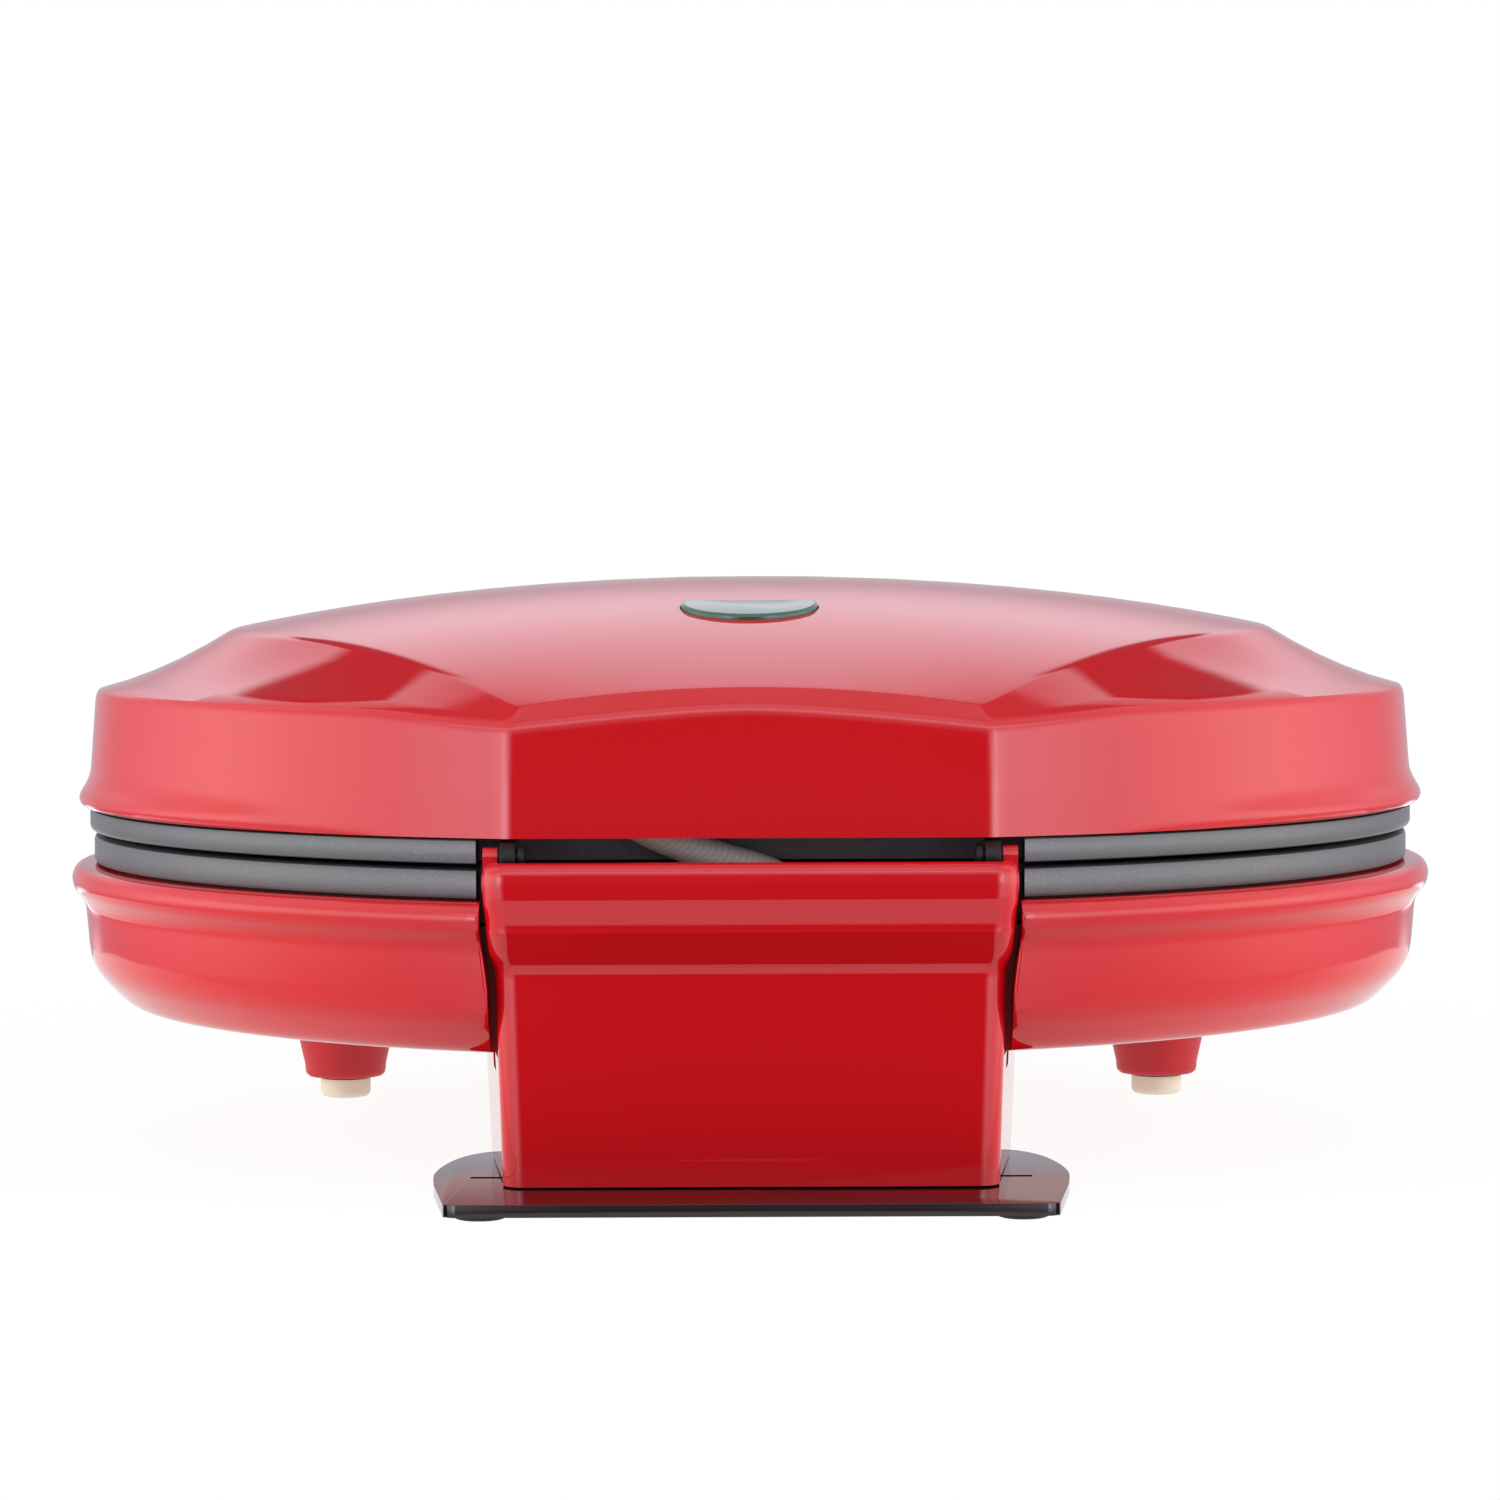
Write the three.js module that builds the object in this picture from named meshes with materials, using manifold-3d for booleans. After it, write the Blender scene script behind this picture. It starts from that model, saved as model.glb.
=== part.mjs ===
// Sandwich and waffle maker: a round faceted lid that hinges on a rear stand, two ribbed
// cooking plates with their heaters, a base with moulded legs, and a front handle with a latch.
// Millimetres, +Z up. +Y is the hinge side, -Y the handle side.

import * as THREE from 'three';
import { mergeVertices } from 'three/addons/utils/BufferGeometryUtils.js';
import Module from 'manifold-3d';

const wasm = await Module();
wasm.setup();

// Sizes shared by all pieces
const clearance = 0.3; // between pieces that touch
const overrun = 2.0; // how far a cut passes the face that it starts from
const wallThickness = 2.2; // moulded walls
const bodyRadius = 112.5; // lid and base walls, where they are widest without their lips
const facetCornerAngle = 69.2; // from the X axis to the corner where the front and rear flats start
const roundSteps = 48; // facets around a full-size circle
const smallSteps = 8; // facets around screws, pins and bosses
const mediumSteps = 12; // facets around feet, bushes and legs
const slimSteps = 6; // facets around heating rods and ribs

// Foot plate, the black cord-wrap plate that the stand rests on
const rearFootHeight = 1.1;
const rearFootRadius = 3.9;
const rearFootStem = 1.7;
const rearFootHalfSpan = 40.8;
const rearFootFromEdge = 7.5;
const footPlateThickness = 1.9;
const footPlateRear = 10.6; // behind the rear face of the stand
const footPlateLength = 64.6;
const footPlateHalfWidth = 49.4;
const footPlateCorner = 3.0;
const footPlateSlitLength = 4.8;
const footPlateSlitWidth = 2.0;
const footPlateSlitHalfSpan = 41.1;
const footPlateSlitForward = 31.6; // from the rear edge
// [half-width share, share of the length from the rear edge, corner share]
const footPlateOutlineShares = [
  [0.917, 0, 1],
  [0.99, 0.404, 0],
  [1, 0.585, 0],
  [0.955, 0.85, 1],
  [0.85, 0.969, 1],
  [0.81, 1, 0.5],
];

// Base shell
const baseBottomHeight = 23.1; // from the table to its flat underside
const baseChamferRun = 8.9;
const baseChamferRise = 7.1;
const baseWallRise = 11.2; // from the chamfer to the underside of the lip
const baseWallDraft = 0.5;
const baseLipRise = 6.7;
const baseLipReach = 2.8;
const baseRoundRunShare = 0.1; // of the chamfer's run, where its upper edge is rounded
const baseRoundRiseShare = 0.16; // the same of its rise, below and above that edge
// [share of the lip's reach, share of its rise]
const baseLipShares = [
  [0.85, 0.36],
  [1, 0.62],
  [0.8, 0.9],
  [0.5, 1],
];
const legSpreadShare = 0.6524; // of the body radius, from the middle
const legForwardShare = 0.4267; // the same, towards the front
const legTopRadius = 10.9;
const legEndRadius = 7.2;
const legEndRound = 0.8;
const footTipHeight = 3.4;
const footTipRadius = 4.6;
const footTipRound = 1.1;
const footStemRadius = 2.2;
const footStemLength = 4.0;

// Stand: the block behind the body and the neck under it, one hollow moulding
const standSideProud = 0.75; // to each side, beyond the corners of the flat above it
const standProud = 4.8; // how far the block stands behind the flat of the lid
const standCorner = 4.0;
const neckSetback = 5.0; // how far the neck's rear face lies in front of the block's
const neckNarrowing = 1.8;
const neckDraft = 1.9; // rear face, top to bottom
const neckSideDraft = 0.9;
const neckLength = 47.0;
const neckFlare = 3.8; // how much wider the neck is at its front end
const neckFrontDraft = 1.4;
const hingeBay = 10.7; // from the flat of the lid to the front of the block
const standStepHeight = 10.9; // from the underside of the base to the foot of the bulge
const bulgeHeight = 18.7; // from there to the top of the block
// [share of the bulge's height, share of the neck's setback that it has filled, narrowing left]
const bulgeShares = [
  [0, 0, 1],
  [0.13, 0.05, 0.95],
  [0.18, 0.11, 0.7],
  [0.27, 0.33, 0.44],
  [0.46, 0.8, 0.4],
  [0.6, 0.925, 0.32],
  [0.74, 0.975, 0.12],
  [0.88, 1, 0],
  [0.96, 0.94, 0.2],
  [1, 0.73, 0.6],
];
const bulgeInsideShare = 0.9; // of its height, as far as the hollow follows it
const sideSlotLength = 7.0; // in the upper edges of the neck's side walls
const sideSlotDepth = 2.9;
const sideSlotForward = 3.4; // in front of the block

// Plates: rims meet at the rim planes, the rest is measured from there towards the back
const plateGap = 0.87;
const lowerPlateInset = 1.0; // rim, from the body radius
const upperPlateInset = 0.3;
const lowerRimHeight = 3.4;
const upperRimHeight = 3.63;
const rimWidth = 6.0;
const studReach = 2.9; // from the rim plane to the tips of the studs
const pocketDepth = 5.8;
const plateFloor = 3.0;
const studPitch = 22.0;
const studBase = 15.0;
const studTip = 10.5;
const studSides = 4;
const dividerWidth = 7.0;
const dividerTip = 4.0;
const dividerReach = 0.5; // from the rim plane
const screwPadRadius = 6.5;
const screwPadTip = 5.6;
const plateScrewSetIn = 16.0; // from the heating rod's circle
const plateScrewAngles = [30, 150, 270];
const screwRadius = 1.7;
const screwHeadRadius = 3.6;
const screwHeadHeight = 1.8;
const screwRunClearance = 0.35;
const bossRadius = 3.6;
const bossFootRadius = 5.4;
const heaterSetIn = 34.5; // of the heating rod's circle, from the body radius
const heaterRadius = 3.1;
const heaterSteps = 21;
const heaterGapAngle = 34; // between the two ends, at the rear
const heaterPinRadius = 2.0;
const heaterPinLength = 7.0;
const reflectorMargin = 12.0; // around the heating rod's circle
const reflectorRearGap = 10.5; // in front of the notch for the stand
const reflectorThickness = 0.9;
const reflectorLip = 4.0;
const thermostatRadius = 8.0;
const thermostatLength = 8.4;
const thermostatSide = 30.0;
const thermostatForward = 26.0;
const fuseRadius = 2.5;
const fuseLength = 24.0;
const fuseSide = 30.0;
const fuseBack = 6.0;

// Lid shell
const lidWallRise = 19.2; // from its lower edge to the top of the wall
const lidWallDraft = 1.5;
const lidLipReach = 2.4;
const lidFlareRise = 9.8;
// [share of the lip's reach, share of the flare's rise]
const lidFlareShares = [
  [0.6, 0],
  [1, 0.2],
  [0.6, 0.45],
  [0.2, 0.74],
  [0, 1],
];
const edgeRound = 2.0;
const shoulderInShare = 0.12; // of the way from the wall to the crown, where the shoulder starts
const shoulderRiseShare = 0.6; // of the edge's rounding, how high it starts
const crownEdgeRise = 2.8; // from the top of the wall to the edge of the crown at the flats
const crownRise = 16.0; // from there to the middle
const crownSideShare = 0.78; // of the crown's rise that it falls towards the sides
const panelSideShare = 0.773; // of the body radius, the edge of the crown at the sides
const panelFlatShare = 0.975; // the same at the corners of the flats
const panelTurnStart = 40; // degrees from the X axis
const panelTurnEnd = 70;
const flareFadeStart = 28;
const flareFadeEnd = 62;
const bowRise = 1.1; // of the top edge of the flats, in the middle
const bowFall = 1.8; // at the corners
const bowFadeAngle = 14;
const bowPower = 1.5; // how much faster the edge falls towards the corners
const cornerHalfAngle = 0.8; // to each side of a corner, its rounding
// shares of the angle from the X axis to the corner, and from there to the middle of the flat
const sideRingShares = [0, 0.14, 0.28, 0.42, 0.56, 0.69, 0.81, 0.91];
const flatRingShares = [0.25, 0.5, 0.75];
const crownRingShares = [1, 0.7, 0.36];
const innerCrownShare = 0.55;

// Indicator window in the lid
const lensRadius = 11.0;
const lensBackShare = 0.482; // of the way from the middle to the rear flat
const lensChord = 3.5; // from the middle of its circle to its straight side
const lensHollow = 0.9; // how far that side bows in
const lensProud = 0.95;
const lensDepth = 3.6;
const lensFlangeDrop = 1.1; // under the inner face of the lid
const lensBevel = 0.6;
const lampRadius = 2.4;
const lampLength = 13.0;
const holderWidth = 17.0;
const holderDepth = 9.6;
const holderHeight = 7.4;
const holderFloor = 1.2;

// Hinge
const hingeSetback = 0.2; // of the axis, from the flat of the lid
const hingeDrop = 2.8; // of the axis, from the lower edge of the lid
const knuckleRadius = 2.3;
const hingePinRadius = 1.0;
const hingePinHead = 1.8;
const hingePinHeadLength = 1.2;
const earThickness = 2.5;
const bracketThickness = 2.4;
const bracketDepth = 6.4;
const bracketFlange = 9.0;
const bracketDrop = 7.6; // from the top of the lid's wall to the flange
const bracketHole = 4.6; // from the web to the screw in the flange

// Cord inlet and wiring
const glandRadius = 5.2;
const glandFlangeRadius = 7.4;
const glandFlange = 1.6;
const glandBore = 3.3;
const glandNose = 5.0;
const terminalWidth = 30.0;
const terminalDepth = 11.0;
const terminalHeight = 9.0;
const terminalBack = 20.0; // behind the front wall of the neck
const terminalHole = 1.5;
const terminalPitch = 9.0;
const sleeveRadius = 2.7;
const sleeveSteps = 16;
const sleeveSides = 8;
// [share of the stand's half-width, share of the rise from the base's floor to the lid's edge]
const sleevePathShares = [
  [-0.42, 0.367],
  [-0.32, 0.578],
  [-0.05, 0.786],
  [0.22, 0.911],
  [0.44, 1.045],
  [0.56, 1.179],
];
const housingScrewSpan = 29.0;
const housingScrewBack = 9.0; // behind the front wall of the neck
const housingScrewGrip = 7.0;
const housingTowerRadius = 4.8;
const footPlateScrewSpan = 24.0;
const footPlateScrewBack = 28.0;
const footPlateScrewLength = 8.0;
const footPlateRecessShare = 0.7; // of its thickness, under the screw heads

// Handle and latch
const handleHalfWidth = 33.0;
const handleTipHalfWidth = 25.0;
const handleCorner = 9.0;
const upperHandleReach = 27.3; // in front of the flat of the lid
const upperHandleHeight = 12.5;
const upperHandleRise = 1.6; // from the lower edge of the lid
const latchRoom = 0.47; // between the lower handle and the latch
const lowerHandleHeight = 8.4;
const lowerHandleSaddle = 7.6;
const saddleThickness = 4.4;
const saddleHalfWidth = 29.0;
const handleScrewSpan = 20.0;
const handleScrewDepth = 8.0;
const handleScrewRadius = 1.5;
const handleScrewHead = 2.9;
const headTopShare = 0.7; // of a screw head's radius, its flat top
const headRimShare = 0.4; // of its height, the straight rim
const gripBevel = 1.2;
const latchHalfWidth = 8.0;
const latchThickness = 3.4;
const latchHook = 6.4;
const latchHookHeight = 2.0;
const latchPinRadius = 1.2;
const latchPinHold = 7.0;
const latchPinDrop = 4.2; // from the top of the handle
const latchEyeRadius = 2.9;
const latchProud = 1.5; // in front of the handle
const latchRibHeight = 0.8;
const latchRibs = 4;

// Heights and places worked out from the sizes above
const radians = THREE.MathUtils.degToRad;
const degrees = THREE.MathUtils.radToDeg;
const quarterTurn = degrees(Math.PI / 2);
const footPlateTop = rearFootHeight + footPlateThickness;
const neckBottom = footPlateTop + clearance;
const baseFloorTop = baseBottomHeight + wallThickness;
const baseChamferTop = baseBottomHeight + baseChamferRise;
const baseLipBottom = baseChamferTop + baseWallRise;
const baseTop = baseLipBottom + baseLipRise;
const lowerRimBottom = baseTop + clearance;
const lowerRimPlane = lowerRimBottom + lowerRimHeight;
const upperRimPlane = lowerRimPlane + plateGap;
const lidBottom = upperRimPlane + upperRimHeight + clearance;
const lidWallTop = lidBottom + lidWallRise;
const crownTop = lidWallTop + crownEdgeRise + crownRise;
const baseWallRadius = bodyRadius + baseWallDraft;
const baseInnerRadius = bodyRadius - wallThickness;
const lidInnerRadius = bodyRadius - wallThickness;
const flatShare = Math.sin(radians(facetCornerAngle));
const flatReach = bodyRadius * flatShare;
const flatHalfWidth = bodyRadius * Math.cos(radians(facetCornerAngle));
const standHalfWidth = flatHalfWidth + standSideProud;
const lensBack = flatReach * lensBackShare;
const neckTop = baseBottomHeight - clearance;
const standStep = baseBottomHeight + standStepHeight;
const standTop = standStep + bulgeHeight;
const legSpread = bodyRadius * legSpreadShare;
const legForward = bodyRadius * legForwardShare;
const standRear = flatReach + standProud;
const notchReach = flatReach - hingeBay;
const blockFront = notchReach + clearance;
const neckRear = standRear - neckSetback;
const neckFront = neckRear - neckLength;
const notchHalfWidth = standHalfWidth + clearance;
const plateNotchHalfWidth = notchHalfWidth + 2 * clearance;
const hingeY = flatReach - hingeSetback;
const hingeZ = lidBottom - hingeDrop;
const footPlateRearEdge = standRear + footPlateRear;
const heaterCircle = bodyRadius - heaterSetIn;
const plateScrewCircle = heaterCircle - plateScrewSetIn;
const reflectorRadius = heaterCircle + reflectorMargin;
const reflectorRearTrim = notchReach - reflectorRearGap;
const plateBack = pocketDepth + plateFloor; // from the rim plane
const heaterMiddle = plateBack + clearance + heaterRadius;
const reflectorFront = heaterMiddle + heaterRadius + clearance;
const reflectorBack = reflectorFront + reflectorThickness;
const bossShoulder = reflectorBack + clearance;

// Finishes
const glossRed = new THREE.MeshStandardMaterial({ color: 0xc4101c, roughness: 0.12, metalness: 0 });
const glossBlack = new THREE.MeshStandardMaterial({ color: 0x1a1416, roughness: 0.15, metalness: 0 });
const moulded = new THREE.MeshStandardMaterial({ color: 0x1d1d1f, roughness: 0.4, metalness: 0 });
const nonStick = new THREE.MeshStandardMaterial({ color: 0x58585c, roughness: 0.38, metalness: 0.4 });
const creamRubber = new THREE.MeshStandardMaterial({ color: 0xe6ddc8, roughness: 0.7, metalness: 0 });
const darkRubber = new THREE.MeshStandardMaterial({ color: 0x2b2a2c, roughness: 0.8, metalness: 0 });
const steel = new THREE.MeshStandardMaterial({ color: 0xb9bcc0, roughness: 0.32, metalness: 0.9 });
const aluminium = new THREE.MeshStandardMaterial({ color: 0xd4d6d8, roughness: 0.4, metalness: 0.8 });
const greenLens = new THREE.MeshStandardMaterial({ color: 0x8fb8a4, roughness: 0.1, metalness: 0 });
const whiteNylon = new THREE.MeshStandardMaterial({ color: 0xe9e7e0, roughness: 0.55, metalness: 0 });
const glass = new THREE.MeshStandardMaterial({ color: 0xd8e4de, roughness: 0.08, metalness: 0 });
const fibreSleeve = new THREE.MeshStandardMaterial({ color: 0xd9d4cc, roughness: 0.85, metalness: 0 });

// Solids: closed geometries are welded, joined and cut
function solidFrom(indices, positions) {
  return new wasm.Manifold(new wasm.Mesh({
    numProp: 3,
    vertProperties: new Float32Array(positions),
    triVerts: new Uint32Array(indices),
  }));
}

function solid(shape) {
  if (!shape.isBufferGeometry) return shape;
  const bare = shape.clone();
  bare.deleteAttribute('normal');
  bare.deleteAttribute('uv');
  const welded = mergeVertices(bare);
  const kept = [];
  for (let i = 0; i < welded.index.count; i += 3) {
    const [a, b, c] = [0, 1, 2].map((k) => welded.index.getX(i + k));
    if (a !== b && b !== c && c !== a) kept.push(a, b, c);
  }
  const made = solidFrom(kept, welded.attributes.position.array);
  return made.volume() > 0 ? made : solidFrom(kept.reverse(), welded.attributes.position.array);
}

function join(...shapes) {
  return shapes.map(solid).reduce((whole, next) => whole.add(next));
}

function cut(shape, ...tools) {
  return tools.map(solid).reduce((left, tool) => left.subtract(tool), solid(shape));
}

function meet(shape, other) {
  return solid(shape).intersect(solid(other));
}

function geometryOf(shape) {
  const { numProp, vertProperties, triVerts } = solid(shape).getMesh();
  const positions = new Float32Array((vertProperties.length / numProp) * 3);
  for (let i = 0; i < positions.length; i += 1) {
    positions[i] = vertProperties[Math.floor(i / 3) * numProp + (i % 3)];
  }
  const geometry = new THREE.BufferGeometry();
  geometry.setAttribute('position', new THREE.BufferAttribute(positions, 3));
  geometry.setIndex(new THREE.BufferAttribute(new Uint32Array(triVerts), 1));
  geometry.computeVertexNormals();
  return geometry;
}

// Forms: all give a closed geometry at its place in the appliance
function turned(profile, steps = smallSteps, x = 0, y = 0) {
  const points = profile.map(([radius, height]) => new THREE.Vector2(radius, height));
  return new THREE.LatheGeometry(points, steps).rotateX(Math.PI / 2).translate(x, y, 0);
}

function rodZ(radius, low, high, x = 0, y = 0, steps = smallSteps) {
  return turned([[0, low], [radius, low], [radius, high], [0, high]], steps, x, y);
}

function rodX(radius, low, high, y, z, steps = smallSteps) {
  return rodZ(radius, low, high, 0, 0, steps).rotateY(Math.PI / 2).translate(0, y, z);
}

function rodY(radius, low, high, x, z, steps = smallSteps) {
  return rodZ(radius, low, high, 0, 0, steps).rotateX(-Math.PI / 2).translate(x, 0, z);
}

function block(lowX, highX, lowY, highY, lowZ, highZ) {
  const box = new THREE.BoxGeometry(highX - lowX, highY - lowY, highZ - lowZ);
  return box.translate((lowX + highX) / 2, (lowY + highY) / 2, (lowZ + highZ) / 2);
}

// From one side's lower to its upper end, whichever side it is
function inOrder(one, other) {
  return one < other ? [one, other] : [other, one];
}

function prism(outline, oneZ, otherZ, steps = roundSteps / 2) {
  const shape = outline instanceof THREE.Shape ? outline : new THREE.Shape(outline);
  const depth = Math.abs(otherZ - oneZ);
  const extruded = new THREE.ExtrudeGeometry(shape, { depth, bevelEnabled: false, curveSegments: steps });
  return extruded.translate(0, 0, Math.min(oneZ, otherZ));
}

// A slab with the bevelled edges of a moulded grip
function grip(outline, low, high, bevel) {
  const extruded = new THREE.ExtrudeGeometry(new THREE.Shape(outline), {
    depth: high - low - 2 * bevel,
    bevelThickness: bevel,
    bevelSize: bevel,
    bevelOffset: -bevel,
    bevelSegments: 2,
  });
  return extruded.translate(0, 0, low + bevel);
}

// Corners are [x, y, radius], and each round takes the same number of points
function rounded(corners, steps = 3) {
  return corners.flatMap(([x, y, radius], i) => {
    const here = new THREE.Vector2(x, y);
    const [before, after] = [i + corners.length - 1, i + 1].map((n) => corners[n % corners.length]);
    const back = new THREE.Vector2(before[0], before[1]).sub(here);
    const on = new THREE.Vector2(after[0], after[1]).sub(here);
    if (radius === 0) return [here];
    const run = Math.min(radius / Math.tan(back.angleTo(on) / 2), back.length() / 2, on.length() / 2);
    const start = here.clone().add(back.setLength(run));
    const end = here.clone().add(on.setLength(run));
    return new THREE.QuadraticBezierCurve(start, here, end).getPoints(steps);
  });
}

function mirroredOutline(half) {
  const other = half.map(([x, y, radius]) => [-x, y, radius]).reverse();
  return rounded([...half, ...other]);
}

// Skins rings of equal count, and closes the first and last with a fan
function loft(rings, lastMiddle) {
  const count = rings[0].length;
  const middleOf = (ring) => ring.reduce((sum, p) => sum.add(p), new THREE.Vector3()).divideScalar(count);
  const points = [...rings.flat(), middleOf(rings[0]), lastMiddle ?? middleOf(rings[rings.length - 1])];
  const firstMiddle = points.length - 2;
  const indices = [];
  rings.slice(1).forEach((ring, level) => {
    for (let i = 0; i < count; i += 1) {
      const a = level * count + i;
      const b = level * count + ((i + 1) % count);
      indices.push(a, b, b + count, a, b + count, a + count);
    }
  });
  const lastRing = (rings.length - 1) * count;
  for (let i = 0; i < count; i += 1) {
    const next = (i + 1) % count;
    indices.push(next, i, firstMiddle);
    indices.push(lastRing + i, lastRing + next, firstMiddle + 1);
  }
  const geometry = new THREE.BufferGeometry().setFromPoints(points);
  geometry.setIndex(indices);
  return geometry;
}

function level(points, z) {
  return points.map((p) => new THREE.Vector3(p.x, p.y, z));
}

function tube(points, radius, steps, sides) {
  const path = new THREE.CatmullRomCurve3(points.map((p) => new THREE.Vector3(...p)));
  const section = new THREE.Shape(new THREE.EllipseCurve(0, 0, radius, radius).getPoints(sides).slice(1));
  return new THREE.ExtrudeGeometry(section, { steps, extrudePath: path, bevelEnabled: false });
}

function ease(value, from, to) {
  return THREE.MathUtils.smoothstep(value, from, to);
}

const leftAndRight = [['left', 1], ['right', -1]];

// Lid: rings around the plan, a circle with a flat at the front and at the rear
const quarterAngles = [
  ...sideRingShares.map((share) => share * facetCornerAngle),
  facetCornerAngle - cornerHalfAngle,
  facetCornerAngle + cornerHalfAngle,
  ...flatRingShares.map((share) => THREE.MathUtils.lerp(facetCornerAngle, quarterTurn, share)),
];
const halfAngles = [
  ...quarterAngles,
  quarterTurn,
  ...quarterAngles.slice(1).reverse().map((angle) => 2 * quarterTurn - angle),
];
const planAngles = [...halfAngles, ...halfAngles.map((angle) => 2 * quarterTurn + angle)];

function fromSideAxis(angle) {
  return degrees(Math.asin(Math.abs(Math.sin(radians(angle)))));
}

function planPoint(angle, radius, z) {
  const turn = radians(angle);
  const reach = radius * Math.min(1, flatShare / Math.abs(Math.sin(turn)));
  return new THREE.Vector3(reach * Math.cos(turn), reach * Math.sin(turn), z);
}

function crownHeight(x, y) {
  const side = crownRise * crownSideShare * (x / bodyRadius) ** 2;
  return crownTop - side - crownRise * (y / flatReach) ** 2;
}

function wallTopHeight(angle) {
  const off = fromSideAxis(angle);
  const fromMiddle = Math.min(1, (quarterTurn - off) / (quarterTurn - facetCornerAngle));
  const bow = bowRise - (bowRise + bowFall) * fromMiddle ** bowPower;
  return lidWallTop + bow * ease(off, facetCornerAngle - bowFadeAngle, facetCornerAngle);
}

function panelRadius(angle) {
  const turn = ease(fromSideAxis(angle), panelTurnStart, panelTurnEnd);
  return bodyRadius * THREE.MathUtils.lerp(panelSideShare, panelFlatShare, turn);
}

function lidRing(radiusAt, heightAt) {
  return planAngles.map((angle) => planPoint(angle, radiusAt(angle), heightAt(angle)));
}

function crownRing(share, sink, inset) {
  return planAngles.map((angle) => {
    const point = planPoint(angle, (panelRadius(angle) - inset) * share, 0);
    point.z = crownHeight(point.x, point.y) - sink;
    return point;
  });
}

function flaredRing(reachShare, riseShare) {
  const reach = (angle) => 1 - ease(fromSideAxis(angle), flareFadeStart, flareFadeEnd);
  return lidRing(
    (angle) => bodyRadius + lidLipReach * reachShare * reach(angle),
    () => lidBottom + lidFlareRise * riseShare,
  );
}

const lidWallTopRadius = bodyRadius - lidWallDraft;
const shoulderRadius = (panel) => (
  THREE.MathUtils.lerp(lidWallTopRadius, panel, shoulderInShare) - edgeRound / 4
);
const lidOuter = loft([
  ...lidFlareShares.map(([reach, rise]) => flaredRing(reach, rise)),
  lidRing(() => lidWallTopRadius, (angle) => wallTopHeight(angle) - edgeRound / 2),
  lidRing(() => lidWallTopRadius - edgeRound / 4, (angle) => wallTopHeight(angle) + edgeRound / 4),
  lidRing(
    (angle) => shoulderRadius(panelRadius(angle)),
    (angle) => wallTopHeight(angle) + edgeRound * shoulderRiseShare,
  ),
  ...crownRingShares.map((share) => crownRing(share, 0, 0)),
], new THREE.Vector3(0, 0, crownTop));

const lidInner = loft([
  lidRing(() => lidInnerRadius, () => lidBottom - overrun),
  lidRing(() => lidInnerRadius, () => lidBottom + lidFlareRise),
  lidRing(() => lidWallTopRadius - wallThickness, (angle) => wallTopHeight(angle) - wallThickness),
  crownRing(1, wallThickness, wallThickness / 2),
  crownRing(innerCrownShare, wallThickness, 0),
], new THREE.Vector3(0, 0, crownTop - wallThickness));

// Plates, heaters and reflectors: one stack below the rim plane, its mirror image above
function plateOutline(radius, notchWidth, notchY) {
  const turn = Math.asin(notchWidth / radius);
  const shape = new THREE.Shape();
  shape.absarc(0, 0, radius, Math.PI / 2 + turn, Math.PI * 2.5 - turn, false);
  shape.lineTo(notchWidth, notchY);
  shape.lineTo(-notchWidth, notchY);
  shape.closePath();
  return shape;
}

const studOffsets = [];
const studFieldRadius = bodyRadius - lowerPlateInset - rimWidth - studBase / 2;
for (let k = 0; dividerWidth / 2 + studPitch * (k + 0.5) < studFieldRadius; k += 1) {
  const offset = dividerWidth / 2 + studPitch * (k + 0.5);
  studOffsets.unshift(-offset);
  studOffsets.push(offset);
}

const plateScrewPlaces = plateScrewAngles.map((angle) => [
  plateScrewCircle * Math.cos(radians(angle)),
  plateScrewCircle * Math.sin(radians(angle)),
]);

function studPlaces() {
  const cornerReach = studFieldRadius + studBase / 2 - studBase / Math.SQRT2;
  return studOffsets.flatMap((x) => studOffsets.map((y) => [x, y])).filter(([x, y]) => {
    const notchSide = plateNotchHalfWidth + rimWidth + studBase / 2;
    const inNotch = y + studBase / 2 > notchReach - rimWidth && Math.abs(x) < notchSide;
    const padRoom = screwPadRadius + studTip / 2;
    const onPad = plateScrewPlaces.some(([px, py]) => Math.hypot(x - px, y - py) < padRoom);
    return Math.hypot(x, y) < cornerReach && !inNotch && !onPad;
  });
}

function stud(x, y, rimPlane, towards) {
  const height = pocketDepth - studReach;
  const radii = [studTip, studBase].map((size) => size / Math.SQRT2);
  const form = new THREE.CylinderGeometry(...radii, height, studSides, 1, false, Math.PI / studSides);
  const middle = rimPlane + towards * (pocketDepth - height / 2);
  return form.rotateX(-towards * Math.PI / 2).translate(x, y, middle);
}

function divider(rimPlane, towards, length, turn) {
  const [tip, root] = [rimPlane + towards * dividerReach, rimPlane + towards * (pocketDepth + clearance)];
  const section = new THREE.Shape([
    new THREE.Vector2(-dividerTip / 2, tip),
    new THREE.Vector2(dividerTip / 2, tip),
    new THREE.Vector2(dividerWidth / 2, root),
    new THREE.Vector2(-dividerWidth / 2, root),
  ]);
  const bar = new THREE.ExtrudeGeometry(section, { depth: length, bevelEnabled: false });
  return bar.translate(0, 0, -length / 2).rotateX(Math.PI / 2).rotateZ(turn);
}

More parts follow.
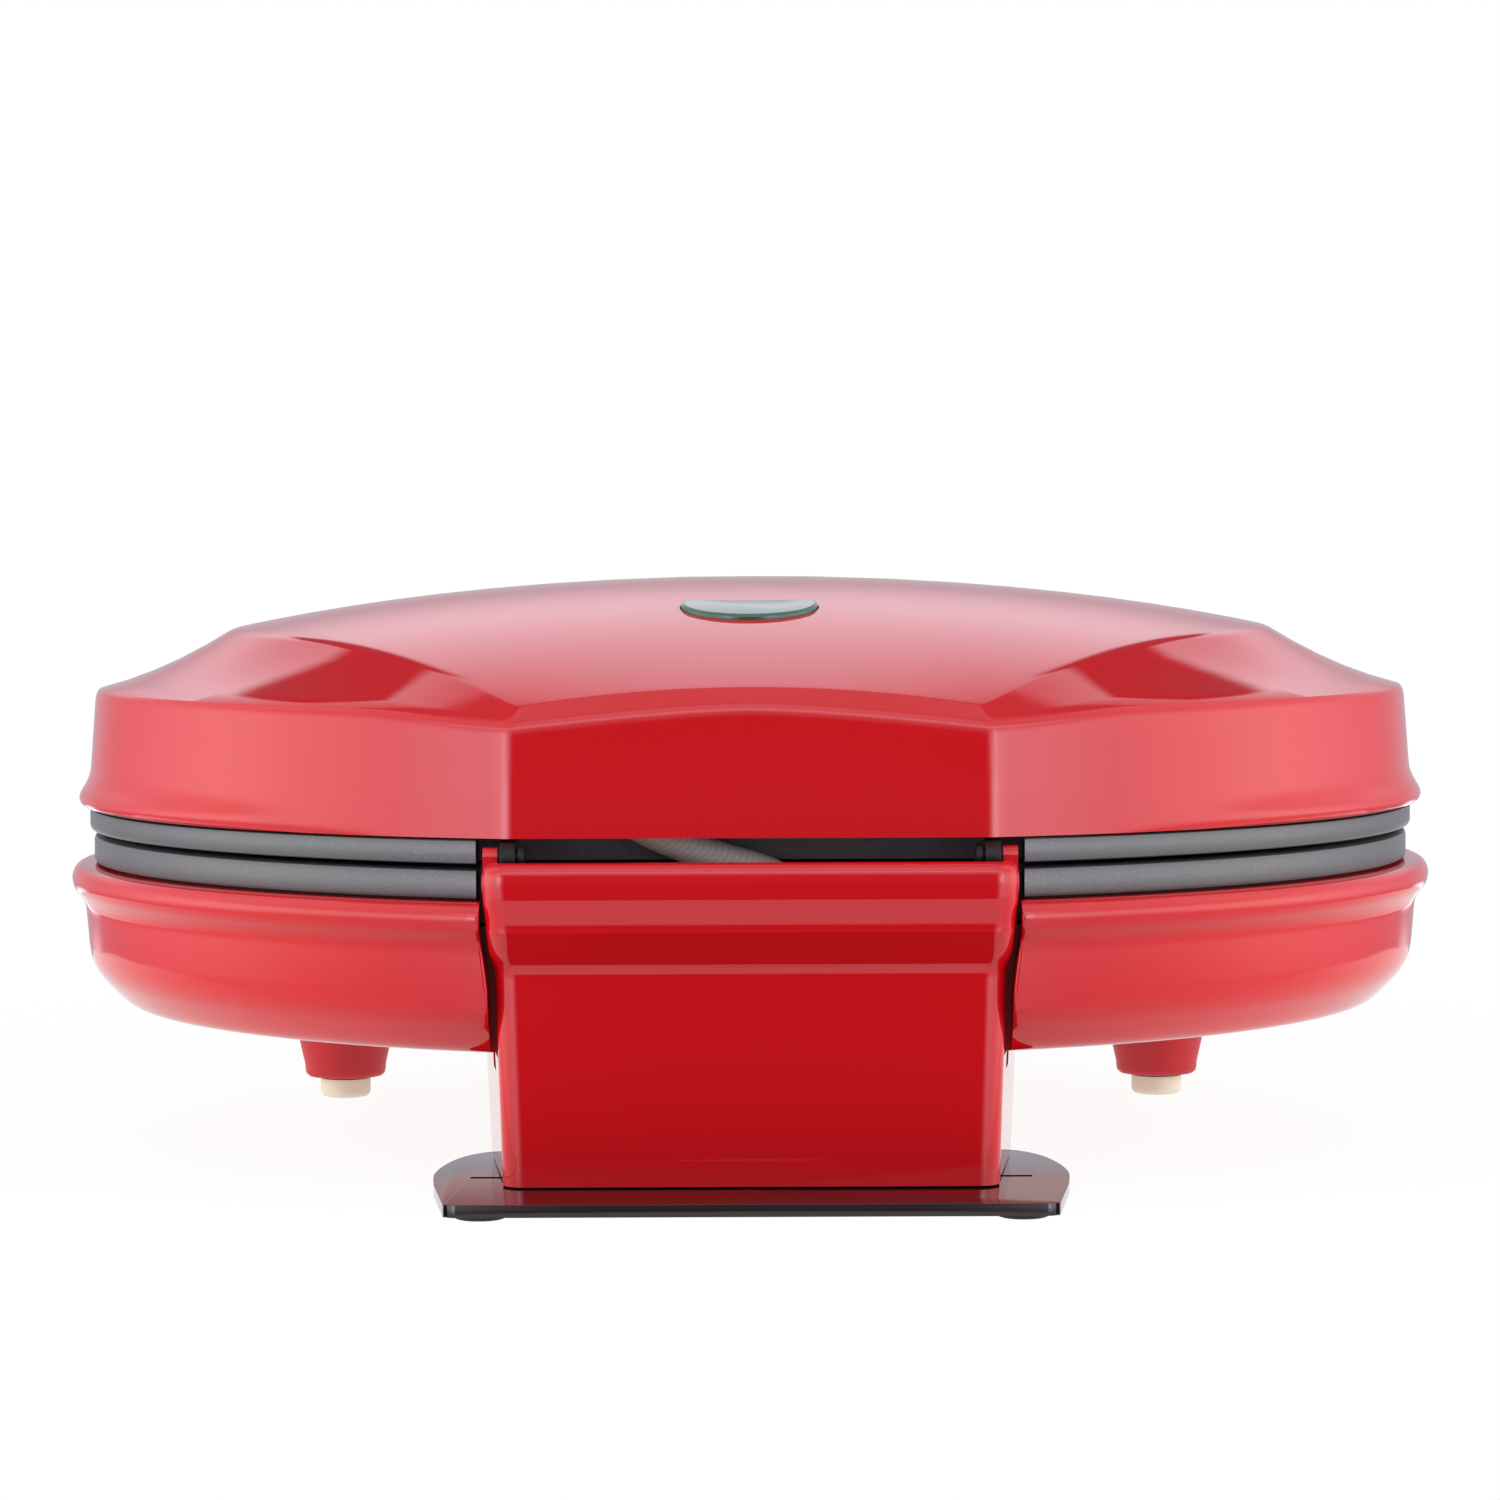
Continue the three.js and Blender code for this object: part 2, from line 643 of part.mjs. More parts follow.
// towards is the way to the back of the plate: -1 for the lower plate, 1 for the upper
function cookingPlate(rimPlane, towards, inset, rimHeight) {
  const z = (depth) => rimPlane + towards * depth;
  const radius = bodyRadius - inset;
  const collarRadius = baseInnerRadius - 2 * clearance;
  const pocketRadius = radius - rimWidth;
  const rim = prism(plateOutline(radius, plateNotchHalfWidth, notchReach), z(0), z(rimHeight));
  const collarOutline = plateOutline(collarRadius, plateNotchHalfWidth, notchReach);
  const collar = prism(collarOutline, z(0), z(plateBack), roundSteps / 3);
  const [notchSide, notchFront] = [plateNotchHalfWidth + rimWidth, notchReach - rimWidth];
  const pocket = prism(plateOutline(pocketRadius, notchSide, notchFront), z(-overrun), z(pocketDepth));
  const bars = join(
    divider(rimPlane, towards, 2 * pocketRadius, 0),
    divider(rimPlane, towards, 2 * pocketRadius, Math.PI / 2),
  );
  const barOutline = plateOutline(pocketRadius + clearance, notchSide - clearance, notchFront + clearance);
  const barRoom = prism(barOutline, z(0), z(plateBack));
  const pads = plateScrewPlaces.map(([x, y]) => turned([
    [0, z(pocketDepth + clearance)],
    [screwPadRadius, z(pocketDepth + clearance)],
    [screwPadTip, z(studReach)],
    [0, z(studReach)],
  ], smallSteps, x, y));
  const studs = studPlaces().map(([x, y]) => stud(x, y, rimPlane, towards));
  const holes = plateScrewPlaces.flatMap(([x, y]) => [
    rodZ(screwRadius + screwRunClearance, z(0), z(plateBack + overrun), x, y),
    rodZ(screwHeadRadius + screwRunClearance, z(0), z(studReach + screwHeadHeight + clearance), x, y),
  ]);
  const filled = join(cut(join(rim, collar), pocket), meet(bars, barRoom), ...pads, ...studs);
  return cut(filled, ...holes);
}

function plateScrew(rimPlane, towards, x, y) {
  const z = (depth) => rimPlane + towards * depth;
  const head = studReach + clearance;
  const tip = bossShoulder + bossFootRadius;
  return turned([
    [0, z(head)],
    [screwHeadRadius, z(head)],
    [screwHeadRadius, z(head + screwHeadHeight - clearance)],
    [screwRadius, z(head + screwHeadHeight - clearance)],
    [screwRadius, z(tip - screwRadius)],
    [0, z(tip)],
  ], smallSteps, x, y);
}

// A boss that the reflector rests on and the plate is screwed to, rooted at rootZ in its shell
function plateBoss(rimPlane, towards, x, y, rootZ) {
  const z = (depth) => rimPlane + towards * depth;
  const post = turned([
    [0, z(plateBack + clearance)],
    [bossRadius, z(plateBack + clearance)],
    [bossRadius, z(bossShoulder)],
    [bossFootRadius, z(bossShoulder)],
    [bossFootRadius, rootZ],
    [0, rootZ],
  ], smallSteps, x, y);
  const boreEnd = z(bossShoulder + bossFootRadius + clearance);
  const bore = rodZ(screwRadius + screwRunClearance, z(plateBack), boreEnd, x, y);
  return [post, bore];
}

const heaterEndAngles = [quarterTurn + heaterGapAngle / 2, 5 * quarterTurn - heaterGapAngle / 2];
const heaterPins = heaterEndAngles.map((angle) => {
  const turn = radians(angle);
  return [heaterCircle * Math.cos(turn), heaterCircle * Math.sin(turn)];
});

function heater(rimPlane, towards) {
  const z = rimPlane + towards * heaterMiddle;
  const [from, to] = heaterEndAngles.map(radians);
  const ring = new THREE.EllipseCurve(0, 0, heaterCircle, heaterCircle, from, to).getPoints(heaterSteps);
  const rod = tube(ring.map((p) => [p.x, p.y, z]), heaterRadius, heaterSteps, slimSteps);
  const pinEnd = z + towards * (heaterRadius + heaterPinLength);
  const pins = heaterPins.map(([x, y]) => rodZ(heaterPinRadius, z, pinEnd, x, y));
  return join(rod, ...pins);
}

function reflector(rimPlane, towards, ...extraHoles) {
  const z = (depth) => rimPlane + towards * depth;
  const dish = turned([
    [0, z(reflectorFront)],
    [reflectorRadius, z(reflectorFront)],
    [reflectorRadius + reflectorLip, z(reflectorFront - reflectorLip)],
    [reflectorRadius + reflectorLip + reflectorThickness, z(reflectorFront - reflectorLip)],
    [reflectorRadius + reflectorThickness, z(reflectorBack)],
    [0, z(reflectorBack)],
  ], roundSteps / 2);
  const reach = reflectorRadius + reflectorLip + overrun;
  const heights = inOrder(z(plateBack), z(bossShoulder + overrun));
  const rear = block(-reach, reach, reflectorRearTrim, reach + overrun, ...heights);
  const [below, above] = [z(reflectorFront - overrun), z(reflectorBack + overrun)];
  const hole = (radius, [x, y]) => rodZ(radius, below, above, x, y);
  const bossHoles = plateScrewPlaces.map((place) => hole(bossRadius + clearance, place));
  const pinHoles = heaterPins.map((place) => hole(heaterPinRadius + 2 * clearance, place));
  return cut(dish, rear, ...bossHoles, ...pinHoles, ...extraHoles);
}

// Indicator window: a D-shaped lens set square to the crown
const lensSlope = Math.atan((-2 * crownRise * lensBack) / flatReach ** 2);
const lensSeat = new THREE.Matrix4().makeRotationX(lensSlope);
lensSeat.setPosition(0, lensBack, crownHeight(0, lensBack));

const lensUnderside = -lensDepth - wallThickness / 2;

function lensOutline(grow) {
  const radius = lensRadius + grow;
  const chord = lensChord + grow;
  const turn = Math.asin(chord / radius);
  const shape = new THREE.Shape();
  shape.absarc(0, 0, radius, -turn, Math.PI + turn, false);
  shape.quadraticCurveTo(0, -chord + 2 * lensHollow, radius * Math.cos(turn), -chord);
  return shape;
}

function lens() {
  const body = prism(lensOutline(0), -lensDepth, lensProud - lensBevel + clearance / 2, smallSteps);
  const cap = new THREE.ExtrudeGeometry(lensOutline(0), {
    depth: lensBevel / 2,
    bevelThickness: lensBevel / 2,
    bevelSize: lensBevel,
    bevelOffset: -lensBevel,
    bevelSegments: 1,
    curveSegments: smallSteps,
  }).translate(0, 0, lensProud - lensBevel);
  const above = block(-lensRadius, lensRadius, -lensRadius, lensRadius, lensProud - lensBevel, lensProud);
  const rim = meet(cap, above);
  const flangeOutline = lensOutline(wallThickness / 2);
  const flange = prism(flangeOutline, lensUnderside, -wallThickness - lensFlangeDrop, smallSteps);
  return geometryOf(join(body, rim, flange)).applyMatrix4(lensSeat);
}

const lensHole = prism(lensOutline(clearance), -wallThickness - 2 * overrun, overrun, smallSteps);
lensHole.applyMatrix4(lensSeat);
const holderTop = lensUnderside - clearance;
const lampMiddle = holderTop - clearance - lampRadius;

function lampHolder() {
  const [halfWidth, halfDepth] = [holderWidth / 2, holderDepth / 2];
  const outside = block(-halfWidth, halfWidth, -halfDepth, halfDepth, holderTop - holderHeight, holderTop);
  const trough = block(
    -halfWidth + holderFloor,
    halfWidth - holderFloor,
    -lampRadius - clearance,
    lampRadius + clearance,
    lampMiddle - lampRadius - clearance,
    holderTop + overrun,
  );
  return geometryOf(cut(outside, trough)).applyMatrix4(lensSeat);
}

function lamp() {
  const half = lampLength / 2;
  return rodX(lampRadius, -half, half, 0, lampMiddle, smallSteps).applyMatrix4(lensSeat);
}

// Lid shell with its window, plate bosses, bracket pads and handle holes
const bracketOuter = standHalfWidth - earThickness - clearance;
const bracketInner = bracketOuter - bracketThickness;
const bracketRear = hingeY - knuckleRadius - clearance;
const bracketFront = bracketRear - bracketDepth + 2 * clearance;
const flangeTop = lidWallTop - bracketDrop;
const flangeScrewX = bracketInner - bracketHole;
const flangeScrewY = (bracketRear + bracketFront) / 2 - clearance;
const handleScrewZ = lidBottom + upperHandleRise + upperHandleHeight / 2;

function lidShell() {
  const bosses = plateScrewPlaces.map(([x, y]) => {
    const root = crownHeight(x, y) - wallThickness / 2;
    return plateBoss(upperRimPlane, 1, x, y, root);
  });
  const pads = leftAndRight.map(([, side]) => {
    const [x, y] = [side * flangeScrewX, flangeScrewY];
    return rodZ(bossRadius, flangeTop + clearance, crownHeight(x, y) - wallThickness, x, y);
  });
  const padBores = leftAndRight.map(([, side]) => rodZ(
    handleScrewRadius + screwRunClearance,
    flangeTop,
    flangeTop + handleScrewDepth,
    side * flangeScrewX,
    flangeScrewY,
  ));
  const handleHoles = leftAndRight.map(([, side]) => rodY(
    handleScrewRadius + screwRunClearance,
    -flatReach - overrun,
    -flatReach + wallThickness + overrun,
    side * handleScrewSpan,
    handleScrewZ,
  ));
  const skin = cut(lidOuter, lidInner, lensHole);
  const held = join(skin, ...bosses.map(([post]) => post), ...pads);
  return cut(held, ...bosses.map(([, bore]) => bore), ...padBores, ...handleHoles);
}

// Upper plate, flat at the front so that it stays under the flat of the lid
function upperPlate() {
  const whole = cookingPlate(upperRimPlane, 1, upperPlateInset, upperRimHeight);
  const beyond = bodyRadius + overrun;
  const frontRim = block(-beyond, beyond, -beyond, -flatReach, upperRimPlane - overrun, lidBottom);
  const innerFlat = lidInnerRadius * flatShare - clearance;
  const behind = upperRimPlane + plateBack + overrun;
  const frontCollar = block(-beyond, beyond, -beyond, -innerFlat, upperRimPlane + upperRimHeight, behind);
  return cut(whole, frontRim, frontCollar);
}

// Base shell with its two moulded legs, plate bosses and screw bosses for the stand
const standScrewY = neckFront + housingScrewBack;
const footPlateScrewY = neckFront + footPlateScrewBack;
const standScrewSink = screwHeadHeight + 2 * clearance;

function legAt(x) {
  return turned([
    [0, footTipHeight + clearance],
    [legEndRadius - legEndRound, footTipHeight + clearance],
    [legEndRadius, footTipHeight + clearance + legEndRound],
    [legTopRadius, baseBottomHeight + wallThickness / 2],
    [0, baseBottomHeight + wallThickness / 2],
  ], mediumSteps, x, -legForward);
}

function baseShell() {
  const roundRise = baseChamferRise * baseRoundRiseShare;
  const bowl = turned([
    [0, baseBottomHeight],
    [bodyRadius - baseChamferRun, baseBottomHeight],
    [bodyRadius - baseChamferRun * baseRoundRunShare, baseChamferTop - roundRise],
    [bodyRadius, baseChamferTop + roundRise],
    [baseWallRadius, baseLipBottom],
    ...baseLipShares.map(([reach, rise]) => [
      bodyRadius + baseLipReach * reach,
      baseLipBottom + baseLipRise * rise,
    ]),
    [baseInnerRadius, baseTop],
    [baseInnerRadius, baseChamferTop + wallThickness / 2],
    [bodyRadius - baseChamferRun - wallThickness / 2, baseFloorTop],
    [0, baseFloorTop],
  ], roundSteps);
  const beyond = bodyRadius + baseLipReach + overrun;
  const rearNotch = block(
    -notchHalfWidth,
    notchHalfWidth,
    notchReach,
    beyond,
    baseBottomHeight - overrun,
    baseTop + overrun,
  );
  const wireHole = block(
    -terminalWidth / 2,
    terminalWidth / 2,
    notchReach - hingeBay,
    notchReach + overrun,
    baseBottomHeight - overrun,
    baseFloorTop + overrun,
  );
  const legs = leftAndRight.map(([, side]) => legAt(side * legSpread));
  const sockets = leftAndRight.map(([, side]) => rodZ(
    footStemRadius + clearance,
    footTipHeight - overrun,
    footTipHeight + footStemLength + 2 * clearance,
    side * legSpread,
    -legForward,
  ));
  const bossRoot = baseBottomHeight + wallThickness / 2;
  const bosses = plateScrewPlaces.map(([x, y]) => plateBoss(lowerRimPlane, -1, x, y, bossRoot));
  const standBosses = leftAndRight.map(([, side]) => rodZ(
    bossRadius,
    baseBottomHeight + wallThickness / 2,
    baseBottomHeight + housingScrewGrip + wallThickness,
    side * housingScrewSpan,
    standScrewY,
  ));
  const standBores = leftAndRight.map(([, side]) => rodZ(
    handleScrewRadius + screwRunClearance,
    baseBottomHeight - overrun,
    baseBottomHeight + housingScrewGrip,
    side * housingScrewSpan,
    standScrewY,
  ));
  const handleHoles = leftAndRight.map(([, side]) => rodY(
    handleScrewRadius + screwRunClearance,
    -bodyRadius - baseLipReach - overrun,
    -bodyRadius + 3 * wallThickness,
    side * handleScrewSpan,
    lowerScrewZ,
  ));
  const whole = join(bowl, ...legs, ...bosses.map(([post]) => post), ...standBosses);
  const bossBores = bosses.map(([, bore]) => bore);
  return cut(whole, rearNotch, wireHole, ...sockets, ...bossBores, ...standBores, ...handleHoles);
}

// Stand: the block's rear face bulges over the neck, and both are one hollow moulding
function standRing(rearHalfWidth, rear, rearCorner, frontHalfWidth, front, frontCorner, z) {
  return level(rounded([
    [rearHalfWidth, rear, rearCorner],
    [frontHalfWidth, front, frontCorner],
    [-frontHalfWidth, front, frontCorner],
    [-rearHalfWidth, rear, rearCorner],
  ]), z);
}

const neckHalfWidth = standHalfWidth - neckNarrowing;

function columnRing(halfWidth, rear, inset, z) {
  const corner = standCorner - inset;
  return standRing(halfWidth - inset, rear - inset, corner, halfWidth - inset, blockFront + inset, 0, z);
}

function standColumn(inset, bottom, top, shares) {
  const low = columnRing(neckHalfWidth - neckSideDraft, neckRear - neckDraft, inset, bottom);
  const rings = shares.map(([rise, filled, narrow], k) => columnRing(
    standHalfWidth - neckNarrowing * narrow,
    neckRear + neckSetback * filled,
    inset,
    k === shares.length - 1 ? top : standStep + bulgeHeight * rise,
  ));
  return loft([low, ...rings]);
}

function tubRing(halfWidth, flare, inset, z) {
  const rear = blockFront + 3 * wallThickness;
  const rearHalfWidth = halfWidth - inset - clearance;
  const frontHalfWidth = halfWidth + flare - inset;
  return standRing(rearHalfWidth, rear, 0, frontHalfWidth, neckFront + inset, standCorner / 2, z);
}

function neckTub(inset, bottom, top) {
  return loft([
    tubRing(neckHalfWidth - neckSideDraft, neckFlare - neckFrontDraft / 2, inset, bottom),
    tubRing(neckHalfWidth, neckFlare, inset, top),
  ]);
}

function stand() {
  const earInner = standHalfWidth - earThickness;
  const earOuter = standHalfWidth - clearance / 2;
  const ears = leftAndRight.flatMap(([, side]) => {
    const [low, high] = inOrder(side * earInner, side * earOuter);
    const foot = standTop - knuckleRadius - wallThickness;
    return [
      rodX(knuckleRadius, low, high, hingeY, hingeZ),
      block(low, high, hingeY - knuckleRadius, hingeY + knuckleRadius, foot, hingeZ - knuckleRadius / 2),
    ];
  });
  const beyond = standHalfWidth + neckFlare + overrun;
  const earHoles = rodX(hingePinRadius + clearance, -beyond, beyond, hingeY, hingeZ);
  const floorTop = neckBottom + wallThickness;
  const column = standColumn(0, neckBottom, standTop, bulgeShares);
  const outside = join(column, neckTub(0, neckBottom, neckTop), ...ears);
  const frontDrop = block(
    -earInner,
    earInner,
    blockFront - overrun,
    blockFront + 2 * wallThickness,
    baseTop,
    standTop + overrun,
  );
  const sideSlots = block(
    -beyond,
    beyond,
    blockFront - sideSlotForward - sideSlotLength,
    blockFront - sideSlotForward,
    neckTop - sideSlotDepth,
    neckTop + overrun,
  );
  const glandHole = rodY(
    glandRadius + clearance,
    neckFront - overrun,
    neckFront + wallThickness + overrun,
    0,
    glandZ,
    mediumSteps,
  );
  const towers = leftAndRight.map(([, side]) => rodZ(
    housingTowerRadius,
    neckBottom + wallThickness / 2,
    neckTop,
    side * housingScrewSpan,
    standScrewY,
  ));
  const plateTowers = leftAndRight.map(([, side]) => rodZ(
    bossRadius,
    neckBottom + wallThickness / 2,
    neckBottom + footPlateScrewLength,
    side * footPlateScrewSpan,
    footPlateScrewY,
  ));
  const boreRadius = handleScrewRadius + screwRunClearance;
  const below = neckBottom - overrun;
  const bores = leftAndRight.flatMap(([, side]) => {
    const [standX, plateX] = [side * housingScrewSpan, side * footPlateScrewSpan];
    return [
      rodZ(boreRadius, below, neckTop + overrun, standX, standScrewY),
      rodZ(handleScrewHead + clearance, below, neckBottom + standScrewSink, standX, standScrewY),
      rodZ(boreRadius, below, neckBottom + footPlateScrewLength - clearance, plateX, footPlateScrewY),
    ];
  });
  const hollowShares = bulgeShares.filter(([rise]) => rise < bulgeInsideShare);
  const inside = join(
    standColumn(wallThickness, floorTop, standTop + overrun, hollowShares),
    neckTub(wallThickness, floorTop, neckTop + overrun),
  );
  const shell = cut(outside, inside, frontDrop, sideSlots, glandHole, earHoles);
  return cut(join(shell, ...towers, ...plateTowers), ...bores);
}

// Foot plate
function footPlateShape() {
  const half = footPlateOutlineShares.map(([side, along, corner]) => [
    footPlateHalfWidth * side,
    footPlateRearEdge - footPlateLength * along,
    footPlateCorner * corner,
  ]);
  return mirroredOutline(half);
}

const rearFootY = footPlateRearEdge - rearFootFromEdge;

function footPlate() {
  const plate = prism(footPlateShape(), rearFootHeight, footPlateTop);
  const slitY = footPlateRearEdge - footPlateSlitForward;
  const slits = leftAndRight.map(([, side]) => block(
    side * footPlateSlitHalfSpan - footPlateSlitLength / 2,
    side * footPlateSlitHalfSpan + footPlateSlitLength / 2,
    slitY - footPlateSlitWidth / 2,
    slitY + footPlateSlitWidth / 2,
    rearFootHeight - overrun,
    footPlateTop + overrun,
  ));
  const [below, above] = [rearFootHeight - overrun, footPlateTop + overrun];
  const recessTop = rearFootHeight + footPlateThickness * footPlateRecessShare;
  const holes = leftAndRight.flatMap(([, side]) => [
    rodZ(rearFootStem + clearance, below, above, side * rearFootHalfSpan, rearFootY),
    rodZ(handleScrewRadius + screwRunClearance, below, above, side * footPlateScrewSpan, footPlateScrewY),
    rodZ(screwHeadRadius, below, recessTop, side * footPlateScrewSpan, footPlateScrewY),
  ]);
  return cut(plate, ...slits, ...holes);
}

function rearFoot(x) {
  const top = rearFootHeight - clearance;
  return turned([
    [0, 0],
    [rearFootRadius - top / 2, 0],
    [rearFootRadius, top / 2],
    [rearFootRadius, top],
    [rearFootStem, top],
    [rearFootStem, footPlateTop],
    [0, footPlateTop],
  ], mediumSteps, x, rearFootY);
}

function frontFoot(x) {
  return turned([
    [0, 0],
    [footTipRadius - footTipRound, 0],
    [footTipRadius, footTipRound],
    [footTipRadius, footTipHeight],
    [footStemRadius, footTipHeight],
    [footStemRadius, footTipHeight + footStemLength],
    [0, footTipHeight + footStemLength],
  ], mediumSteps, x, -legForward);
}

// Cord inlet: a bush in the front wall of the neck
const glandZ = (neckBottom + neckTop) / 2;

function cordGland() {
  const wallBack = neckFront + wallThickness;
  const noseRadius = (glandRadius + glandBore) / 2;
  const profile = [
    [glandBore, neckFront - glandFlange - glandNose],
    [noseRadius, neckFront - glandFlange - glandNose],
    [glandRadius, neckFront - glandFlange - clearance],
    [glandFlangeRadius, neckFront - glandFlange - clearance],
    [glandFlangeRadius, neckFront - clearance],
    [glandRadius, neckFront - clearance],
    [glandRadius, wallBack + clearance],
    [glandFlangeRadius - clearance, wallBack + clearance],
    [glandRadius, wallBack + clearance + glandFlange],
    [glandBore, wallBack + clearance + glandFlange],
    [glandBore, neckFront - glandFlange - glandNose],
  ];
  return turned(profile, mediumSteps).rotateX(-Math.PI / 2).translate(0, 0, glandZ);
}

function terminalBlock() {
  const y = neckFront + terminalBack;
  const bottom = neckBottom + wallThickness + clearance;
  const [front, rear] = [y - terminalDepth / 2, y + terminalDepth / 2];
  const top = bottom + terminalHeight;
  const wireZ = bottom + terminalHeight / 3;
  const body = block(-terminalWidth / 2, terminalWidth / 2, front, rear, bottom, top);
  const holes = [-terminalPitch, 0, terminalPitch].flatMap((x) => [
    rodY(terminalHole, front - overrun, rear + overrun, x, wireZ),
    rodZ(terminalHole, wireZ, top + overrun, x, y),
  ]);
  return cut(body, ...holes);
}

// Wiring sleeve: from the base, up through the hinge bay, into the lid
const sleeveY = blockFront + wallThickness + clearance + sleeveRadius;
const sleevePoints = sleevePathShares.map(([across, up]) => [
  standHalfWidth * across,
  sleeveY,
  THREE.MathUtils.lerp(baseFloorTop, lidBottom, up),
]);

// Hinge: two stub pins through the stand's ears and the lid's bracket knuckles
function hingeBracket(side) {
  const [low, high] = inOrder(side * bracketInner, side * bracketOuter);
  const knuckle = rodX(knuckleRadius, low, high, hingeY, hingeZ);
  const web = new THREE.Shape([
    new THREE.Vector2(hingeY, hingeZ - knuckleRadius),
    new THREE.Vector2(hingeY, hingeZ + knuckleRadius),
    new THREE.Vector2(bracketRear, lidBottom),
    new THREE.Vector2(bracketRear, flangeTop),
    new THREE.Vector2(bracketFront, flangeTop),
    new THREE.Vector2(bracketFront, hingeZ),
    new THREE.Vector2(hingeY - knuckleRadius, hingeZ - knuckleRadius),
  ]);
  const plate = new THREE.ExtrudeGeometry(web, { depth: bracketThickness, bevelEnabled: false });
  plate.applyMatrix4(new THREE.Matrix4().makeBasis(
    new THREE.Vector3(0, 1, 0),
    new THREE.Vector3(0, 0, 1),
    new THREE.Vector3(1, 0, 0),
  )).translate(low, 0, 0);
  const flangeEnds = inOrder(side * (bracketInner - bracketFlange), side * (bracketInner + clearance));
  const flangeBottom = flangeTop - bracketThickness;
  const flange = block(...flangeEnds, bracketFront, bracketRear, flangeBottom, flangeTop);
  const pinHole = rodX(hingePinRadius + clearance, low - overrun, high + overrun, hingeY, hingeZ);
  const screwHole = rodZ(
    handleScrewRadius + screwRunClearance,
    flangeBottom - overrun,
    flangeTop + overrun,
    side * flangeScrewX,
    flangeScrewY,
  );
  return cut(join(knuckle, plate, flange), pinHole, screwHole);
}

function hingePin(side) {
  const outer = standHalfWidth - clearance;
  const inner = bracketInner - clearance;
  const shank = inOrder(side * inner, side * outer);
  const head = inOrder(side * inner, side * (inner - hingePinHeadLength));
  return join(
    rodX(hingePinRadius, ...shank, hingeY, hingeZ),
    rodX(hingePinHead, ...head, hingeY, hingeZ),
  );
}

// A pan-head screw that points up: headZ is its bearing face
function panScrew(headZ, length, x, y) {
  return turned([
    [0, headZ - screwHeadHeight],
    [handleScrewHead * headTopShare, headZ - screwHeadHeight],
    [handleScrewHead, headZ - screwHeadHeight * headRimShare],
    [handleScrewHead, headZ],
    [handleScrewRadius, headZ],
    [handleScrewRadius, headZ + length - handleScrewRadius],
    [0, headZ + length],
  ], smallSteps, x, y);
}

function screwAlongY(seatY, length, x, z) {
  return panScrew(0, length, 0, 0).rotateX(Math.PI / 2).translate(x, seatY, z);
}

// Handles and latch
const upperHandleBottom = lidBottom + upperHandleRise;
const upperHandleTop = upperHandleBottom + upperHandleHeight;
const upperHandleFront = -flatReach - upperHandleReach;
const lowerHandleTop = baseTop + clearance;
const lowerHandleBottom = lowerHandleTop - lowerHandleHeight;
const lowerScrewZ = lowerHandleBottom - lowerHandleSaddle / 2;
const latchFront = upperHandleFront - latchProud;
const latchBack = latchFront + latchThickness;
const lowerHandleFront = latchBack + latchRoom;
const latchAxisY = latchFront + latchEyeRadius;
const latchAxisZ = upperHandleTop - latchPinDrop;
const latchBottom = lowerHandleBottom - clearance - latchHookHeight;

function gripOutline(rear, front) {
  return mirroredOutline([
    [handleHalfWidth, rear, 0],
    [handleHalfWidth, rear - handleCorner, handleCorner],
    [handleTipHalfWidth, front, handleCorner],
  ]);
}

function upperHandle() {
  const rear = -flatReach - clearance;
  const body = grip(gripOutline(rear, upperHandleFront), upperHandleBottom, upperHandleTop, gripBevel);
  const recess = block(
    -latchHalfWidth - clearance,
    latchHalfWidth + clearance,
    upperHandleFront - overrun,
    latchAxisY + latchEyeRadius + 2 * clearance,
    upperHandleBottom - overrun,
    upperHandleTop + overrun,
  );
  const pinReach = latchHalfWidth + latchPinHold;
  const pinHole = rodX(latchPinRadius + clearance, -pinReach, pinReach, latchAxisY, latchAxisZ);
  const screwHoles = leftAndRight.map(([, side]) => rodY(
    handleScrewRadius + screwRunClearance,
    rear - handleScrewDepth,
    rear + overrun,
    side * handleScrewSpan,
    handleScrewZ,
  ));
  return cut(body, recess, pinHole, ...screwHoles);
}

function lowerHandle() {
  const rear = -bodyRadius * flatShare;
  const bar = grip(gripOutline(rear, lowerHandleFront), lowerHandleBottom, lowerHandleTop, gripBevel);
  const lipRadius = bodyRadius + baseLipReach + clearance;
  const roomAround = (radius, low, high) => rodZ(radius, low, high, 0, 0, roundSteps);
  const above = lowerHandleTop + overrun;
  const lipRoom = roomAround(lipRadius, lowerHandleBottom - overrun, above);
  const saddleFront = -baseWallRadius - saddleThickness;
  const saddleBottom = lowerHandleBottom - lowerHandleSaddle;
  const saddleTop = lowerHandleBottom + gripBevel;
  const saddleBlock = block(
    -saddleHalfWidth,
    saddleHalfWidth,
    saddleFront,
    rear,
    saddleBottom,
    saddleTop,
  );
  const wallRoom = roomAround(baseWallRadius + clearance, saddleBottom - overrun, baseLipBottom);
  const lipClear = roomAround(lipRadius, baseLipBottom - clearance, above);
  const screwHoles = leftAndRight.map(([, side]) => rodY(
    handleScrewRadius + screwRunClearance,
    saddleFront + wallThickness / 2,
    rear + overrun,
    side * handleScrewSpan,
    lowerScrewZ,
  ));
  return cut(join(cut(bar, lipRoom), cut(saddleBlock, wallRoom, lipClear)), ...screwHoles);
}

